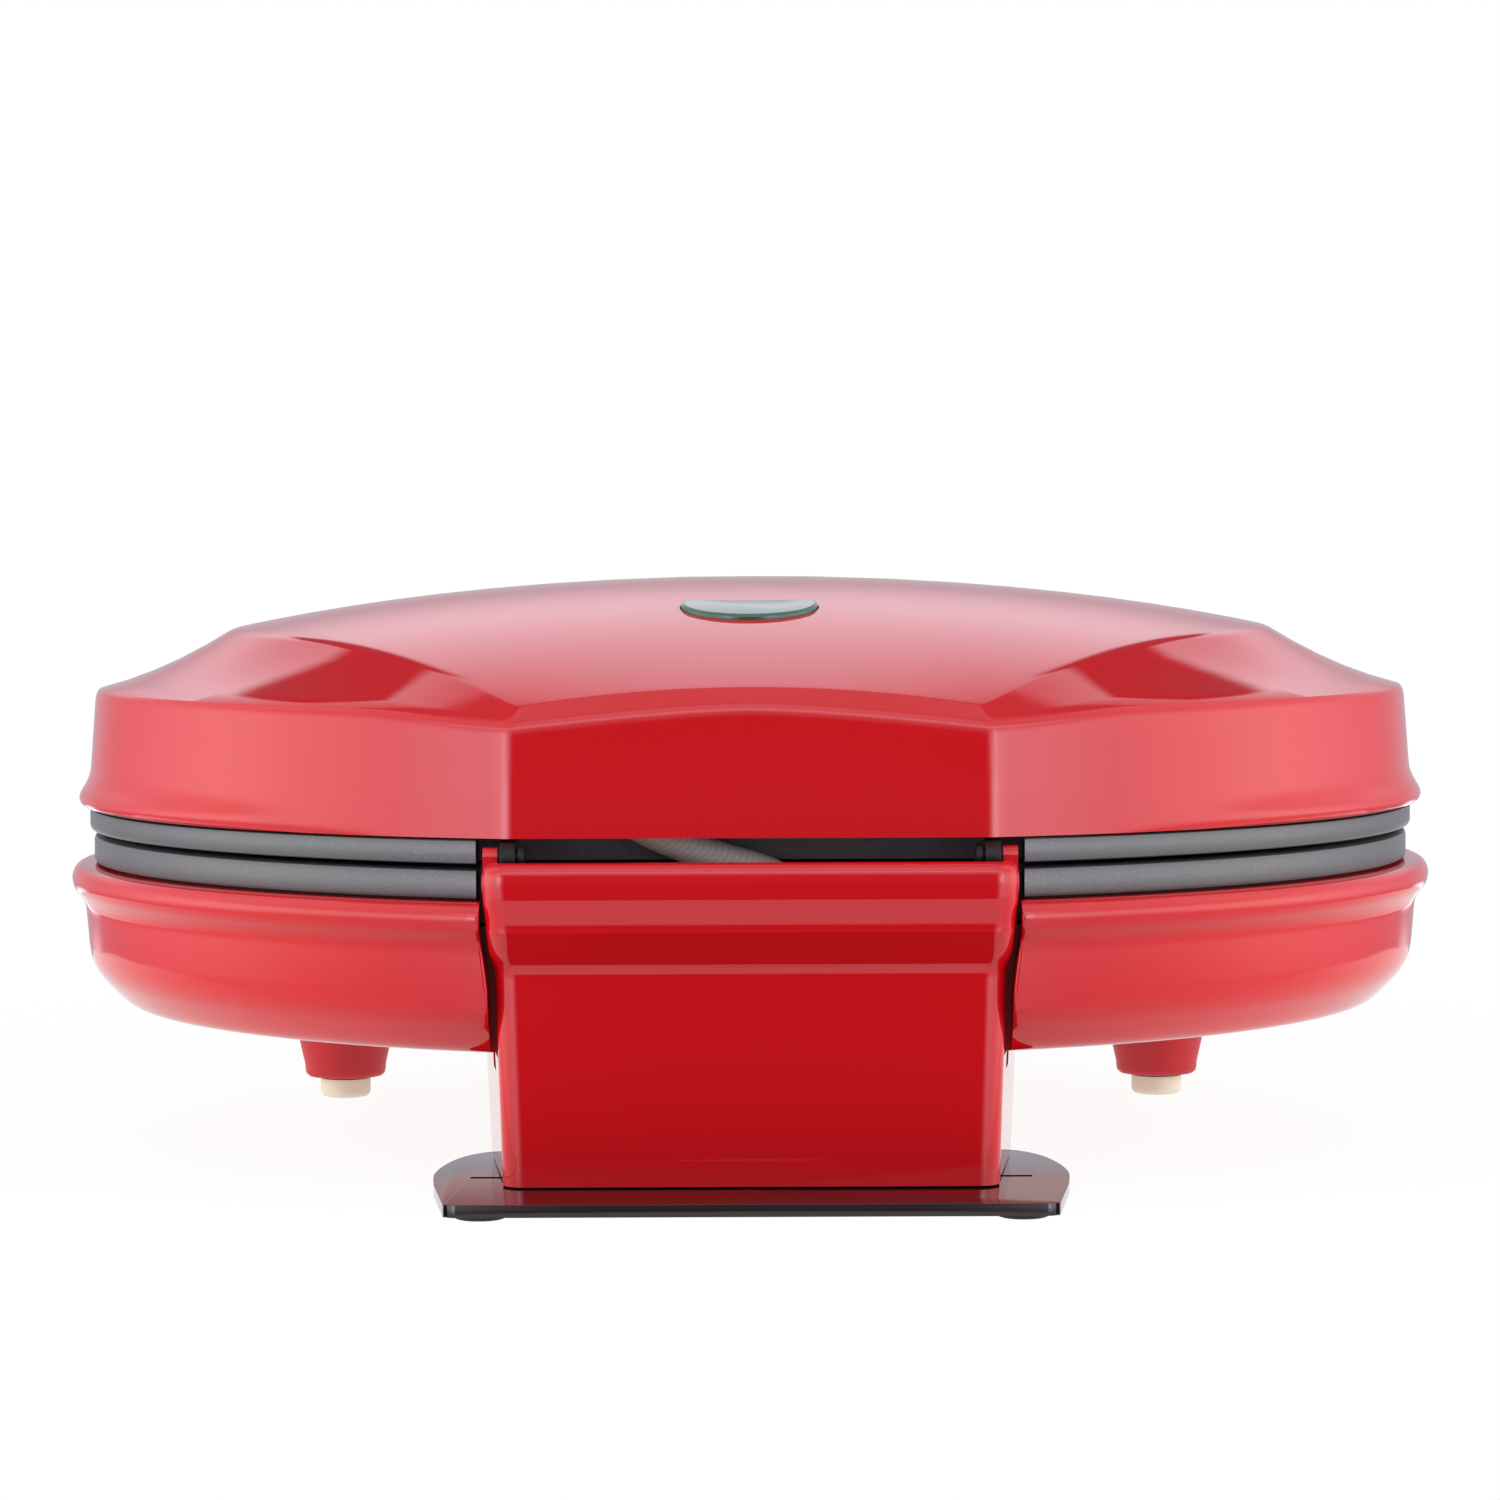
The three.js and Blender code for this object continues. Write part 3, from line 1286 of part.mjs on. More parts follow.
function latchClip() {
  const top = latchAxisZ + latchEyeRadius;
  const hookTip = latchBack + latchHook;
  const eyeBottom = latchAxisZ - latchEyeRadius;
  const side = new THREE.Shape([
    new THREE.Vector2(latchFront, latchBottom + latchHookHeight / 2),
    new THREE.Vector2(latchFront + latchHookHeight / 2, latchBottom),
    new THREE.Vector2(hookTip - latchHookHeight / 2, latchBottom),
    new THREE.Vector2(hookTip, latchBottom + latchHookHeight / 2),
    new THREE.Vector2(hookTip, latchBottom + latchHookHeight),
    new THREE.Vector2(latchBack, latchBottom + latchHookHeight),
    new THREE.Vector2(latchBack, eyeBottom),
    new THREE.Vector2(latchBack, top - gripBevel),
    new THREE.Vector2(latchBack - gripBevel, top),
    new THREE.Vector2(latchFront + gripBevel, top),
    new THREE.Vector2(latchFront, top - gripBevel),
  ]);
  const strip = new THREE.ExtrudeGeometry(side, { depth: 2 * latchHalfWidth, bevelEnabled: false });
  strip.applyMatrix4(new THREE.Matrix4().makeBasis(
    new THREE.Vector3(0, 1, 0),
    new THREE.Vector3(0, 0, 1),
    new THREE.Vector3(1, 0, 0),
  )).translate(-latchHalfWidth, 0, 0);
  const ribs = Array.from({ length: latchRibs }, (_, k) => {
    const z = latchBottom + latchHookHeight + (k + 1) * 2 * latchRibHeight;
    const ribHalf = latchHalfWidth - gripBevel;
    return rodX(latchRibHeight, -ribHalf, ribHalf, latchFront, z, slimSteps);
  });
  const eye = rodX(latchEyeRadius, -latchHalfWidth, latchHalfWidth, latchAxisY, latchAxisZ);
  const beyond = latchHalfWidth + overrun;
  const pinHole = rodX(latchPinRadius + clearance, -beyond, beyond, latchAxisY, latchAxisZ);
  return cut(join(strip, eye, ...ribs), pinHole);
}

// Appliance: all pieces in their places, with the middle of its footprint at the origin
const appliance = new THREE.Group();
const rearReach = footPlateRearEdge;
const frontReach = -latchFront + latchRibHeight;
const pieces = new THREE.Group();
pieces.position.y = (frontReach - rearReach) / 2;
appliance.add(pieces);

function add(name, shape, material) {
  const mesh = new THREE.Mesh(geometryOf(shape), material);
  mesh.name = name;
  pieces.add(mesh);
}

add('base_shell', baseShell(), glossRed);
add('rear_stand', stand(), glossRed);
add('foot_plate', footPlate(), glossBlack);
add('lower_plate', cookingPlate(lowerRimPlane, -1, lowerPlateInset, lowerRimHeight), nonStick);
add('lower_heater', heater(lowerRimPlane, -1), steel);
const thermostatHole = rodZ(
  thermostatRadius + clearance,
  lowerRimPlane - reflectorFront + overrun,
  lowerRimPlane - reflectorBack - overrun,
  thermostatSide,
  -thermostatForward,
  2 * smallSteps,
);
add('lower_reflector', reflector(lowerRimPlane, -1, thermostatHole), aluminium);
add('thermostat', rodZ(
  thermostatRadius,
  lowerRimPlane - plateBack - clearance - thermostatLength,
  lowerRimPlane - plateBack - clearance,
  thermostatSide,
  -thermostatForward,
  2 * smallSteps,
), steel);
add('thermal_fuse', rodX(
  fuseRadius,
  -fuseSide - fuseLength / 2,
  -fuseSide + fuseLength / 2,
  fuseBack,
  lowerRimPlane - plateBack - clearance - fuseRadius,
), whiteNylon);
add('terminal_block', terminalBlock(), whiteNylon);
add('cord_gland', cordGland(), moulded);
add('lower_handle', lowerHandle(), moulded);
add('wiring_sleeve', tube(sleevePoints, sleeveRadius, sleeveSteps, sleeveSides), fibreSleeve);

add('lid_shell', lidShell(), glossRed);
add('upper_plate', upperPlate(), nonStick);
add('upper_heater', heater(upperRimPlane, 1), steel);
add('upper_reflector', reflector(upperRimPlane, 1), aluminium);
add('indicator_lens', lens(), greenLens);
add('indicator_lamp', lamp(), glass);
add('lamp_holder', lampHolder(), whiteNylon);
add('upper_handle', upperHandle(), moulded);
add('latch_clip', latchClip(), moulded);
const latchPinReach = latchHalfWidth + latchPinHold - clearance;
add('latch_pin', rodX(latchPinRadius, -latchPinReach, latchPinReach, latchAxisY, latchAxisZ), steel);

leftAndRight.forEach(([name, side]) => {
  add(`rear_foot_${name}`, rearFoot(side * rearFootHalfSpan), darkRubber);
  add(`front_foot_${name}`, frontFoot(side * legSpread), creamRubber);
  add(`hinge_bracket_${name}`, hingeBracket(side), moulded);
  add(`hinge_pin_${name}`, hingePin(side), steel);

  const bracketSeat = flangeTop - bracketThickness - clearance;
  const bracketScrew = panScrew(bracketSeat, handleScrewDepth, side * flangeScrewX, flangeScrewY);
  add(`bracket_screw_${name}`, bracketScrew, steel);

  const upperSeat = -lidInnerRadius * flatShare + clearance;
  const upperLength = handleScrewDepth + wallThickness;
  const upperScrew = screwAlongY(upperSeat, upperLength, side * handleScrewSpan, handleScrewZ);
  add(`upper_handle_screw_${name}`, upperScrew, steel);

  const headEdge = handleScrewSpan + handleScrewHead;
  const lowerSeat = -Math.sqrt(baseInnerRadius ** 2 - headEdge ** 2) + clearance;
  const lowerScrew = screwAlongY(lowerSeat, handleScrewDepth, side * handleScrewSpan, lowerScrewZ);
  add(`lower_handle_screw_${name}`, lowerScrew, steel);

  const standSeat = neckBottom + standScrewSink - clearance;
  const standGrip = neckTop - standSeat + housingScrewGrip - clearance;
  const standScrew = panScrew(standSeat, standGrip, side * housingScrewSpan, standScrewY);
  add(`stand_screw_${name}`, standScrew, steel);

  const footSeat = rearFootHeight + footPlateThickness * footPlateRecessShare - clearance;
  const footScrew = panScrew(footSeat, footPlateScrewLength, side * footPlateScrewSpan, footPlateScrewY);
  add(`foot_plate_screw_${name}`, footScrew, steel);
});

plateScrewPlaces.forEach(([x, y], k) => {
  add(`lower_plate_screw_${k + 1}`, plateScrew(lowerRimPlane, -1, x, y), steel);
  add(`upper_plate_screw_${k + 1}`, plateScrew(upperRimPlane, 1, x, y), steel);
});

export default appliance;
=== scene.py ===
from math import asin, atan2, cos, degrees, pi, radians, sin, tan, tau

import bmesh
import bpy
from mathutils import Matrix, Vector
from mathutils.geometry import interpolate_bezier


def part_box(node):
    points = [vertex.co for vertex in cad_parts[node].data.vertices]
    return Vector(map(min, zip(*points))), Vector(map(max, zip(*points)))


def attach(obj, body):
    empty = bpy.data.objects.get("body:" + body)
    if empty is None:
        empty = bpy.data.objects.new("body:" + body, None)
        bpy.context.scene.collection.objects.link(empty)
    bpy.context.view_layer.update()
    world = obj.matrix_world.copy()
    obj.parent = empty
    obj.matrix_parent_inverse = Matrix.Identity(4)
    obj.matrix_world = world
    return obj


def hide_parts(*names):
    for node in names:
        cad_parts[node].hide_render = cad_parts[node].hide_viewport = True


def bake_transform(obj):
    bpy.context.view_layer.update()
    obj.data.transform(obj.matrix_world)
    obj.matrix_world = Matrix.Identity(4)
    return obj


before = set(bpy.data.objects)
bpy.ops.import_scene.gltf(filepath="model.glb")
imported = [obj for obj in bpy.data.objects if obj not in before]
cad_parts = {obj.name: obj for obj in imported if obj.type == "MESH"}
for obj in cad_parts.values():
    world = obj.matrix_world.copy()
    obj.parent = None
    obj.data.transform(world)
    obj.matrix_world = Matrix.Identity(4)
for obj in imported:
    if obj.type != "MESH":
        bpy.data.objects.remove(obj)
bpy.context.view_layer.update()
bpy.ops.object.select_all(action="DESELECT")


# Studio: a level view of the hinge side, from a little above the lid, with a long lens.
# Two large soft lights stand left and right, and everything behind the appliance is white.
white, black = (1, 1, 1, 1), (0, 0, 0, 1)
camera_place = (0, 0.89805, 0.10825)
camera_pitch, camera_roll, camera_turn = 0.04871, 0.00382, -0.00022
camera_lens = 124.96
floor_radius, floor_y = 0.24, -0.10
floor_fade = (0.72, 0.97)
floor_albedo, floor_glow, floor_bounce = 0.08, 0.93, 0.9
softbox_radiance, softbox_tint = 2.6, (1, 0.97, 0.96)
softbox_size = (0.95, 1.0)
softbox_distance, softbox_behind, softbox_above = 0.9, 0.30, 0.26
daylight = 0.56
side_level, side_gain, corner_gain = 0.55, 2.2, 0.8
under_share, over_camera_share = 0.36, 0.4
front_glow, strip_level = 2.0, 2.2
sky_level, sky_aside, sky_near = 1.3, 0.4, 0.6
streak_level = 1.6
room_shade, gap_shade, tongue_shade = 0.97, 0.90, 0.65
cool_tint = (1, 0.955, 1.06, 1)

camera_data = bpy.data.cameras.new("camera")
camera_data.lens = camera_lens
camera = bpy.data.objects.new("camera", camera_data)
camera.location = camera_place
camera.rotation_euler = (pi / 2 - camera_pitch, camera_roll, pi + camera_turn)
bpy.context.scene.collection.objects.link(camera)
bpy.context.scene.camera = camera
bpy.context.scene.view_settings.view_transform = "Standard"


class Signal:
    """A node's output socket. Arithmetic on signals adds Math nodes."""

    def __init__(self, socket):
        self.socket = socket

    def node(self, kind, settings, inputs, output=0):
        """Adds a node: its settings first, then the value or the link of each socket."""
        tree = self.socket.id_data
        made = tree.nodes.new(kind)
        for name, value in settings.items():
            if name == "stops":
                ramp = made.color_ramp.elements
                while len(ramp) < len(value):
                    ramp.new(1)
                for stop, (position, colour) in zip(ramp, value):
                    stop.position, stop.color = position, colour
            else:
                setattr(made, name, value)
        for name, value in inputs.items():
            if isinstance(value, Signal):
                tree.links.new(value.socket, made.inputs[name])
            else:
                made.inputs[name].default_value = value
        return Signal(made.outputs[output])

    def math(self, operation, first, second):
        return self.node("ShaderNodeMath", {"operation": operation}, {0: first, 1: second})

    def mixed(self, low, high):
        """The colour that goes from low to high as this signal goes from 0 to 1."""
        settings = {"data_type": "RGBA"}
        return self.node("ShaderNodeMix", settings, {0: self, 6: low, 7: high}, 2)

    def between(self, low, high):
        """0 below low, 1 above high, and smooth between them."""
        settings = {"interpolation_type": "SMOOTHSTEP"}
        return self.node("ShaderNodeMapRange", settings, {0: self, 1: low, 2: high})

    def into(self, socket):
        self.socket.id_data.links.new(self.socket, socket)

    def __add__(self, other):
        return self.math("ADD", self, other)

    def __sub__(self, other):
        return self.math("SUBTRACT", self, other)

    def __rsub__(self, other):
        return self.math("SUBTRACT", other, self)

    def __mul__(self, other):
        return self.math("MULTIPLY", self, other)

    def __truediv__(self, other):
        return self.math("DIVIDE", self, other)

    def __pow__(self, other):
        return self.math("POWER", self, other)

    def __abs__(self):
        return self.math("ABSOLUTE", self, 0)

    __radd__ = __add__
    __rmul__ = __mul__


world = bpy.data.worlds.new("studio")
bpy.context.scene.world = world
world.use_nodes = True
world_nodes = world.node_tree.nodes
direction = Signal(world_nodes.new("ShaderNodeTexCoord").outputs["Generated"])
split = direction.node("ShaderNodeSeparateXYZ", {}, {0: direction}).socket.node
rising = Signal(split.outputs["Z"])
level_length = (1 - rising * rising) ** 0.5 + 0.001
ahead = Signal(split.outputs["Y"]) / level_length
aside = abs(Signal(split.outputs["X"]) / level_length)
# What the gloss mirrors, by direction: rising is its height, ahead is 1 where the camera is
# and aside is 1 to the left and right. The sides are bright, fade towards the front of the
# appliance and below the horizon, and carry a strip that the lid's corners mirror.
sides = side_level + side_gain * ahead.between(-0.86, 0) + corner_gain * ahead.between(0.45, 0.75)
sides = sides * (under_share + (1 - under_share) * rising.between(-0.32, -0.02))
low_front = (1 - ahead.between(-0.95, -0.86)) * (1 - rising.between(-0.15, -0.10))
sides = sides + front_glow * low_front
over_camera = ahead.between(0.76, 0.86) * rising.between(0.02, 0.12)
sides = sides * (1 - (1 - over_camera_share) * over_camera)
sides = sides + strip_level * ahead.between(0.735, 0.765) * rising.between(-0.13, -0.08)
# the sky over them is paler, and even at the top
sky = sky_level - sky_aside * aside.between(0.12, 0.4) + sky_near * ahead.between(-0.75, -0.2)
studio_light = sides + (sky - sides) * rising.between(0.12, 0.35)
studio_light = studio_light + (1 - studio_light) * rising.between(0.85, 0.92)
# one bright streak, the dark room round the camera, and the dark gap and tongue at the front
# that the lid's shoulders mirror
streak = rising.between(0.28, 0.34) * (1 - rising.between(0.42, 0.48)) * ahead.between(0.5, 0.8)
room = ahead.between(0.84, 0.985) * rising.between(-0.34, -0.28) * (1 - rising.between(0.08, 0.50))
in_front = 1 - ahead.between(-0.5, -0.2)
gap = (rising - 1.4 * aside).between(0.045, 0.075) * (1 - rising.between(0.60, 0.65))
gap = gap * in_front * aside.between(0.13, 0.19)
tongue = rising.between(0.77, 0.83) * (1 - rising.between(0.90, 0.95)) * in_front
seen = Signal(world_nodes.new("ShaderNodeLightPath").outputs["Is Camera Ray"])
mirrored = Signal(seen.socket.node.outputs["Is Glossy Ray"])
through = Signal(seen.socket.node.outputs["Is Transmission Ray"])
mirrored_level = (studio_light + streak_level * streak) * (1 - room_shade * room)
mirrored_level = mirrored_level * (1 - gap_shade * gap) * (1 - tongue_shade * tongue)
level = seen + through + mirrored * mirrored_level
level = level + daylight * (1 - seen.math("MAXIMUM", seen + through, mirrored))
level.into(world_nodes["Background"].inputs["Strength"])
tint = mirrored * abs(ahead).between(0.1, 0.6)
tint.mixed(white, cool_tint).into(world_nodes["Background"].inputs["Color"])

for side in (1, -1):
    softbox = bpy.data.lights.new("softbox", "AREA")
    softbox.shape = "RECTANGLE"
    softbox.size, softbox.size_y = softbox_size
    softbox.energy = softbox_radiance * pi * softbox.size * softbox.size_y
    softbox.color = softbox_tint
    lamp = bpy.data.objects.new("softbox", softbox)
    away = Vector((side, softbox_behind, softbox_above)).normalized()
    lamp.location = away * softbox_distance
    lamp.rotation_euler = away.to_track_quat("Z", "Y").to_euler()
    lamp.visible_glossy = False
    bpy.context.scene.collection.objects.link(lamp)

bpy.ops.mesh.primitive_circle_add(
    vertices=128, radius=floor_radius, fill_type="NGON", location=(0, floor_y, 0))
floor = bpy.context.object
floor.name = "floor"
bpy.ops.object.transform_apply(location=True, rotation=True, scale=True)
floor_paint = bpy.data.materials.new("floor_white")
floor_paint.use_nodes = True
floor_nodes = floor_paint.node_tree.nodes
floor_shader = floor_nodes["Principled BSDF"]
floor_shader.inputs["Roughness"].default_value = 0.9
floor_shader.inputs["Specular IOR Level"].default_value = 0
floor_shader.inputs["Emission Strength"].default_value = 1
where = Signal(floor_nodes.new("ShaderNodeTexCoord").outputs["Object"])
from_middle = where.node("ShaderNodeVectorMath", {"operation": "DISTANCE"},
                         {0: where, 1: (0, floor_y, 0)}, "Value")
edge = from_middle.between(*(share * floor_radius for share in floor_fade))
edge.mixed((floor_albedo,) * 3 + (1,), black).into(floor_shader.inputs["Base Color"])
ray = floor_nodes.new("ShaderNodeLightPath").outputs
watched = Signal(ray["Is Camera Ray"]) + Signal(ray["Is Glossy Ray"])
glow = floor_glow + (1 - floor_glow) * edge
bounce = floor_bounce * Signal(ray["Is Diffuse Ray"])
shown = (watched + Signal(ray["Is Transmission Ray"])) * glow + bounce
shown.mixed(black, white).into(floor_shader.inputs["Emission Color"])
floor.data.materials.append(floor_paint)


# Base shell: a round bowl moulded in glossy red plastic, with a rolled lip that carries the
# lower plate. Its rear is cut out for the stand, and two matt legs are moulded under it.
mm = 0.001
body_y = (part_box("lid_shell")[0].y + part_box("lid_shell")[1].y) / 2
body_radius = 112.5
round_steps = 192
wall = 2.2
base_bottom, lip_top = 23.1, 47.0
base_inner_radius = body_radius - wall
notch_half_width, notch_reach = 41.0, 94.468
liner_half, liner_front = 43.2, 92.3
leg_spread, leg_y = 73.4, -48.0
merge_distance, volume_tolerance = 0.002 * mm, 1e-6


def place(x, y, z):
    """A point in metres, from millimetres that start at the middle of the round body."""
    return Vector((x * mm, y * mm + body_y, z * mm))


def pick(piece):
    """Makes a piece the only one that is selected, and the active one."""
    bpy.ops.object.select_all(action="DESELECT")
    piece.select_set(True)
    bpy.context.view_layer.objects.active = piece


def begin(name, where):
    """Starts a piece as one point, which is then extruded in edit mode."""
    bpy.ops.object.select_all(action="DESELECT")
    bpy.ops.mesh.primitive_plane_add(size=mm, location=where)
    piece = bpy.context.object
    piece.name = piece.data.name = name
    bpy.ops.object.mode_set(mode="EDIT")
    bpy.ops.mesh.select_mode(type="VERT")
    bpy.ops.mesh.merge(type="CENTER")
    return piece


def extrude_along(points):
    """Extrudes what is selected from each point to the next."""
    for here, there in zip(points, points[1:]):
        bpy.ops.mesh.extrude_region_move(TRANSFORM_OT_translate={"value": there - here})


def settle(piece, recalculate=True):
    """Merges doubles, turns faces outwards and leaves edit mode, with the place in the mesh."""
    bpy.ops.mesh.select_all(action="SELECT")
    bpy.ops.mesh.remove_doubles(threshold=merge_distance)
    if recalculate:
        bpy.ops.mesh.normals_make_consistent(inside=False)
    bpy.ops.object.mode_set(mode="OBJECT")
    bpy.ops.object.transform_apply(location=True, rotation=True, scale=True)
    return piece


def through_points(points, steps):
    """A smooth curve through the points, with a number of steps between each two."""
    points = [Vector(point).to_3d() for point in points]
    curve = [points[0]]
    for k in range(len(points) - 1):
        before, here = points[max(k - 1, 0)], points[k]
        there, after = points[k + 1], points[min(k + 2, len(points) - 1)]
        leave, arrive = here + (there - before) / 6, there - (after - here) / 6
        curve += interpolate_bezier(here, leave, arrive, there, steps + 1)[1:]
    return curve


def spun(name, profile, steps, x=0, y=0, z=0, axis=(0, 0, 1)):
    """A turned form about an axis, from a profile of [radius, place along the axis]."""
    outward = Vector((0, 0, 1)) if axis[0] else Vector((1, 0, 0))
    foot = Vector((x, y, z))
    line = [place(*(foot + outward * point[0] + Vector(axis) * point[1])) for point in profile]
    piece = begin(name, line[0])
    extrude_along(line)
    bpy.ops.mesh.select_all(action="SELECT")
    bpy.ops.mesh.spin(steps=steps, angle=tau, center=place(*foot), axis=axis)
    return settle(piece)


def drawn(name, points, rise):
    """A flat outline drawn point by point, closed, filled and raised into a solid."""
    line = [place(*point) for point in points]
    piece = begin(name, line[0])
    extrude_along(line + line[:1])
    bpy.ops.mesh.select_all(action="SELECT")
    bpy.ops.mesh.remove_doubles(threshold=merge_distance)
    bpy.ops.mesh.edge_face_add()
    bpy.ops.mesh.extrude_region_move(TRANSFORM_OT_translate={"value": Vector(rise) * mm})
    return settle(piece)


def block(name, low, high):
    """A plain box between two corners, as stock for a piece or as a cutter."""
    bpy.ops.object.select_all(action="DESELECT")
    low, high = place(*low), place(*high)
    bpy.ops.mesh.primitive_cube_add(size=1, location=(low + high) / 2, scale=high - low)
    piece = bpy.context.object
    piece.name = piece.data.name = name
    bpy.ops.object.transform_apply(location=True, rotation=True, scale=True)
    return piece


def with_modifier(piece, kind, **settings):
    """Adds a modifier, and applies it."""
    modifier = piece.modifiers.new(kind.lower(), kind)
    for name, value in settings.items():
        setattr(modifier, name, value)
    bpy.context.view_layer.objects.active = piece
    bpy.ops.object.modifier_apply(modifier=modifier.name)
    return piece


def volume(piece):
    """The volume of a closed piece."""
    form = bmesh.new()
    form.from_mesh(piece.data)
    size = form.calc_volume()
    form.free()
    return size


def combined(piece, operation, other):
    """Combines another form with a piece, and removes the other form. The solver now and then
    leaves a piece whole that it should cut: then it runs again on a spare of the mesh."""
    before, spare, name = volume(piece), piece.data.copy(), piece.data.name
    with_modifier(piece, "BOOLEAN", operation=operation, object=other, solver="EXACT")
    for _ in range(4):
        if abs(volume(piece) - before) > volume_tolerance * before:
            break
        piece.data = spare.copy()
        with_modifier(piece, "BOOLEAN", operation=operation, object=other, solver="EXACT")
    piece.data.name = name
    bpy.data.meshes.remove(spare)
    bpy.data.objects.remove(other)
    return piece


def cut(piece, cutter):
    """Cuts another form out of a piece."""
    return combined(piece, "DIFFERENCE", cutter)


def joined(piece, other):
    """Makes one body of a piece and another form."""
    return combined(piece, "UNION", other)


def select_edges(piece, test):
    """Selects the edges whose two ends both pass a test on their place in millimetres."""
    pick(piece)
    bpy.ops.object.mode_set(mode="EDIT")
    bpy.ops.mesh.select_mode(type="EDGE")
    bpy.ops.mesh.select_all(action="DESELECT")
    bpy.ops.object.mode_set(mode="OBJECT")
    for edge in piece.data.edges:
        ends = [piece.data.vertices[i].co / mm for i in edge.vertices]
        edge.select = all(test(x, y - body_y / mm, z) for x, y, z in ends)
    bpy.ops.object.mode_set(mode="EDIT")


def shaded(piece, angle=35):
    """Shades a piece smooth, apart from its sharp edges."""
    pick(piece)
    bpy.ops.object.shade_smooth_by_angle(angle=radians(angle))
    piece.select_set(False)
    return piece


def new_finish(name, **constants):
    """A material with constants on its shader: gives it, the shader and Object coordinates."""
    material = bpy.data.materials.new(name)
    material.use_nodes = True
    shader = material.node_tree.nodes["Principled BSDF"]
    for socket, value in constants.items():
        shader.inputs[socket.replace("_", " ")].default_value = value
    where = Signal(material.node_tree.nodes.new("ShaderNodeTexCoord").outputs["Object"])
    return material, shader, where


def grain(where, scale, detail=2):
    """Noise of a number of grains to the metre."""
    inputs = {"Vector": where, "Scale": scale, "Detail": detail, "Roughness": 0.5}
    return where.node("ShaderNodeTexNoise", {}, inputs)


def bumped(shader, height, strength, depth):
    """Lets a height show as a relief of a depth in millimetres."""
    inputs = {"Height": height, "Strength": strength, "Distance": depth * mm}
    height.node("ShaderNodeBump", {}, inputs).into(shader.inputs["Normal"])


def textured(shader, where, polish, relief):
    """Lets the roughness and the surface vary. The polish is [least, range, grains to the
    metre], and the relief is [grains to the metre, strength, depth in millimetres]."""
    least, span, fineness = polish
    (least + span * grain(where, fineness)).into(shader.inputs["Roughness"])
    fineness, strength, depth = relief
    bumped(shader, grain(where, fineness, 3), strength, depth)


def moulded(name, low, high, drift, polish, relief, **constants):
    """A finish of one material, whose colour drifts between two in grains to the metre."""
    material, shader, where = new_finish(name, **constants)
    grain(where, drift).mixed((*low, 1), (*high, 1)).into(shader.inputs["Base Color"])
    textured(shader, where, polish, relief)
    return material


def copied(piece, name, flip=(1, 1, 1), move=(0, 0, 0)):
    """A copy with its own mesh, mirrored about the middle of the body and then moved."""
    twin = piece.copy()
    twin.data = piece.data.copy()
    twin.name = twin.data.name = name
    bpy.context.scene.collection.objects.link(twin)
    for point in twin.data.vertices:
        at = point.co / mm - Vector((0, body_y / mm, 0))
        point.co = place(*(at[k] * flip[k] + move[k] for k in range(3)))
    if flip[0] * flip[1] * flip[2] < 0:
        twin.data.flip_normals()
    return twin


def dress(piece, body, finish, slot, *nodes):
    """Gives a finished piece its material and its body, and hides the CAD nodes that it stands
    for.
    """
    piece.data.materials.clear()
    piece.data.materials.append(finish)
    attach(piece, body)
    if nodes:
        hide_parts(*nodes)


# a faint orange peel on the glossy plastic, and a fine grain on the satin one
gloss_red = moulded("gloss_red_plastic", (0.56, 0.0040, 0.0085), (0.63, 0.0060, 0.0120), 9,
                    (0.035, 0.03, 60), (260, 0.035, 0.06), IOR=1.49)
satin_red = moulded("satin_red_plastic", (0.42, 0.009, 0.016), (0.50, 0.012, 0.019), 30,
                    (0.42, 0.14, 700), (1800, 0.25, 0.05), IOR=1.46)

bowl_profile = [(0, base_bottom), (60, base_bottom), (100.6, base_bottom)]
bowl_profile += through_points([
    (102.6, base_bottom), (104.9, 23.35), (106.9, 24.4), (109.7, 27.2), (111.1, 28.9),
    (112.0, 30.8), (112.5, 33.4)], 4)
bowl_profile += through_points([
    (112.95, 38.8), (113.2, 40.4), (114.0, 41.7), (114.85, 42.8), (115.25, 44.0),
    (115.25, 45.1), (114.8, 46.15), (114.0, 46.8), (112.8, lip_top)], 3)
bowl_profile += [
    (base_inner_radius, lip_top),
    (base_inner_radius, 31.3),
    (102.5, base_bottom + wall),
    (0, base_bottom + wall),
]
base_bowl = spun("base_bowl", bowl_profile, round_steps)
# the wall that lines the notch, inside the bowl's own wall
liner_profile = [(0, 23.9), (101, 23.9), (105, 25.2), (108.9, 28.6), (110.8, 32.5), (111.4, 36),
                 (111.4, 42.6), (0, 42.6)]
liner = spun("notch_liner", liner_profile, round_steps)
combined(liner, "INTERSECT", block("liner", (-liner_half, liner_front, 20),
                                   (liner_half, 120, 45)))
joined(base_bowl, liner)
# the cut is narrower under the foot of the block, like the stand in it
notch_side = [(39.8, 20), (39.9, 33), (40.4, 37.5), (notch_half_width, 42),
              (notch_half_width, 52)]
notch_side = [(-x, z) for x, z in reversed(notch_side)] + notch_side
base_notch = drawn("base_notch", [(x, notch_reach, z) for x, z in notch_side], (0, 30, 0))
cut(base_bowl, base_notch)
# the corners that the cut leaves beside the stand are eased
select_edges(base_bowl, lambda x, y, z: 39.6 < abs(x) < 41.1 and 27.5 < z < 46 and y > 102)
bpy.ops.mesh.bevel(offset=0.6 * mm, segments=4)
bpy.ops.object.mode_set(mode="OBJECT")
dress(shaded(base_bowl), "base", gloss_red, "gloss_red", "base_shell")

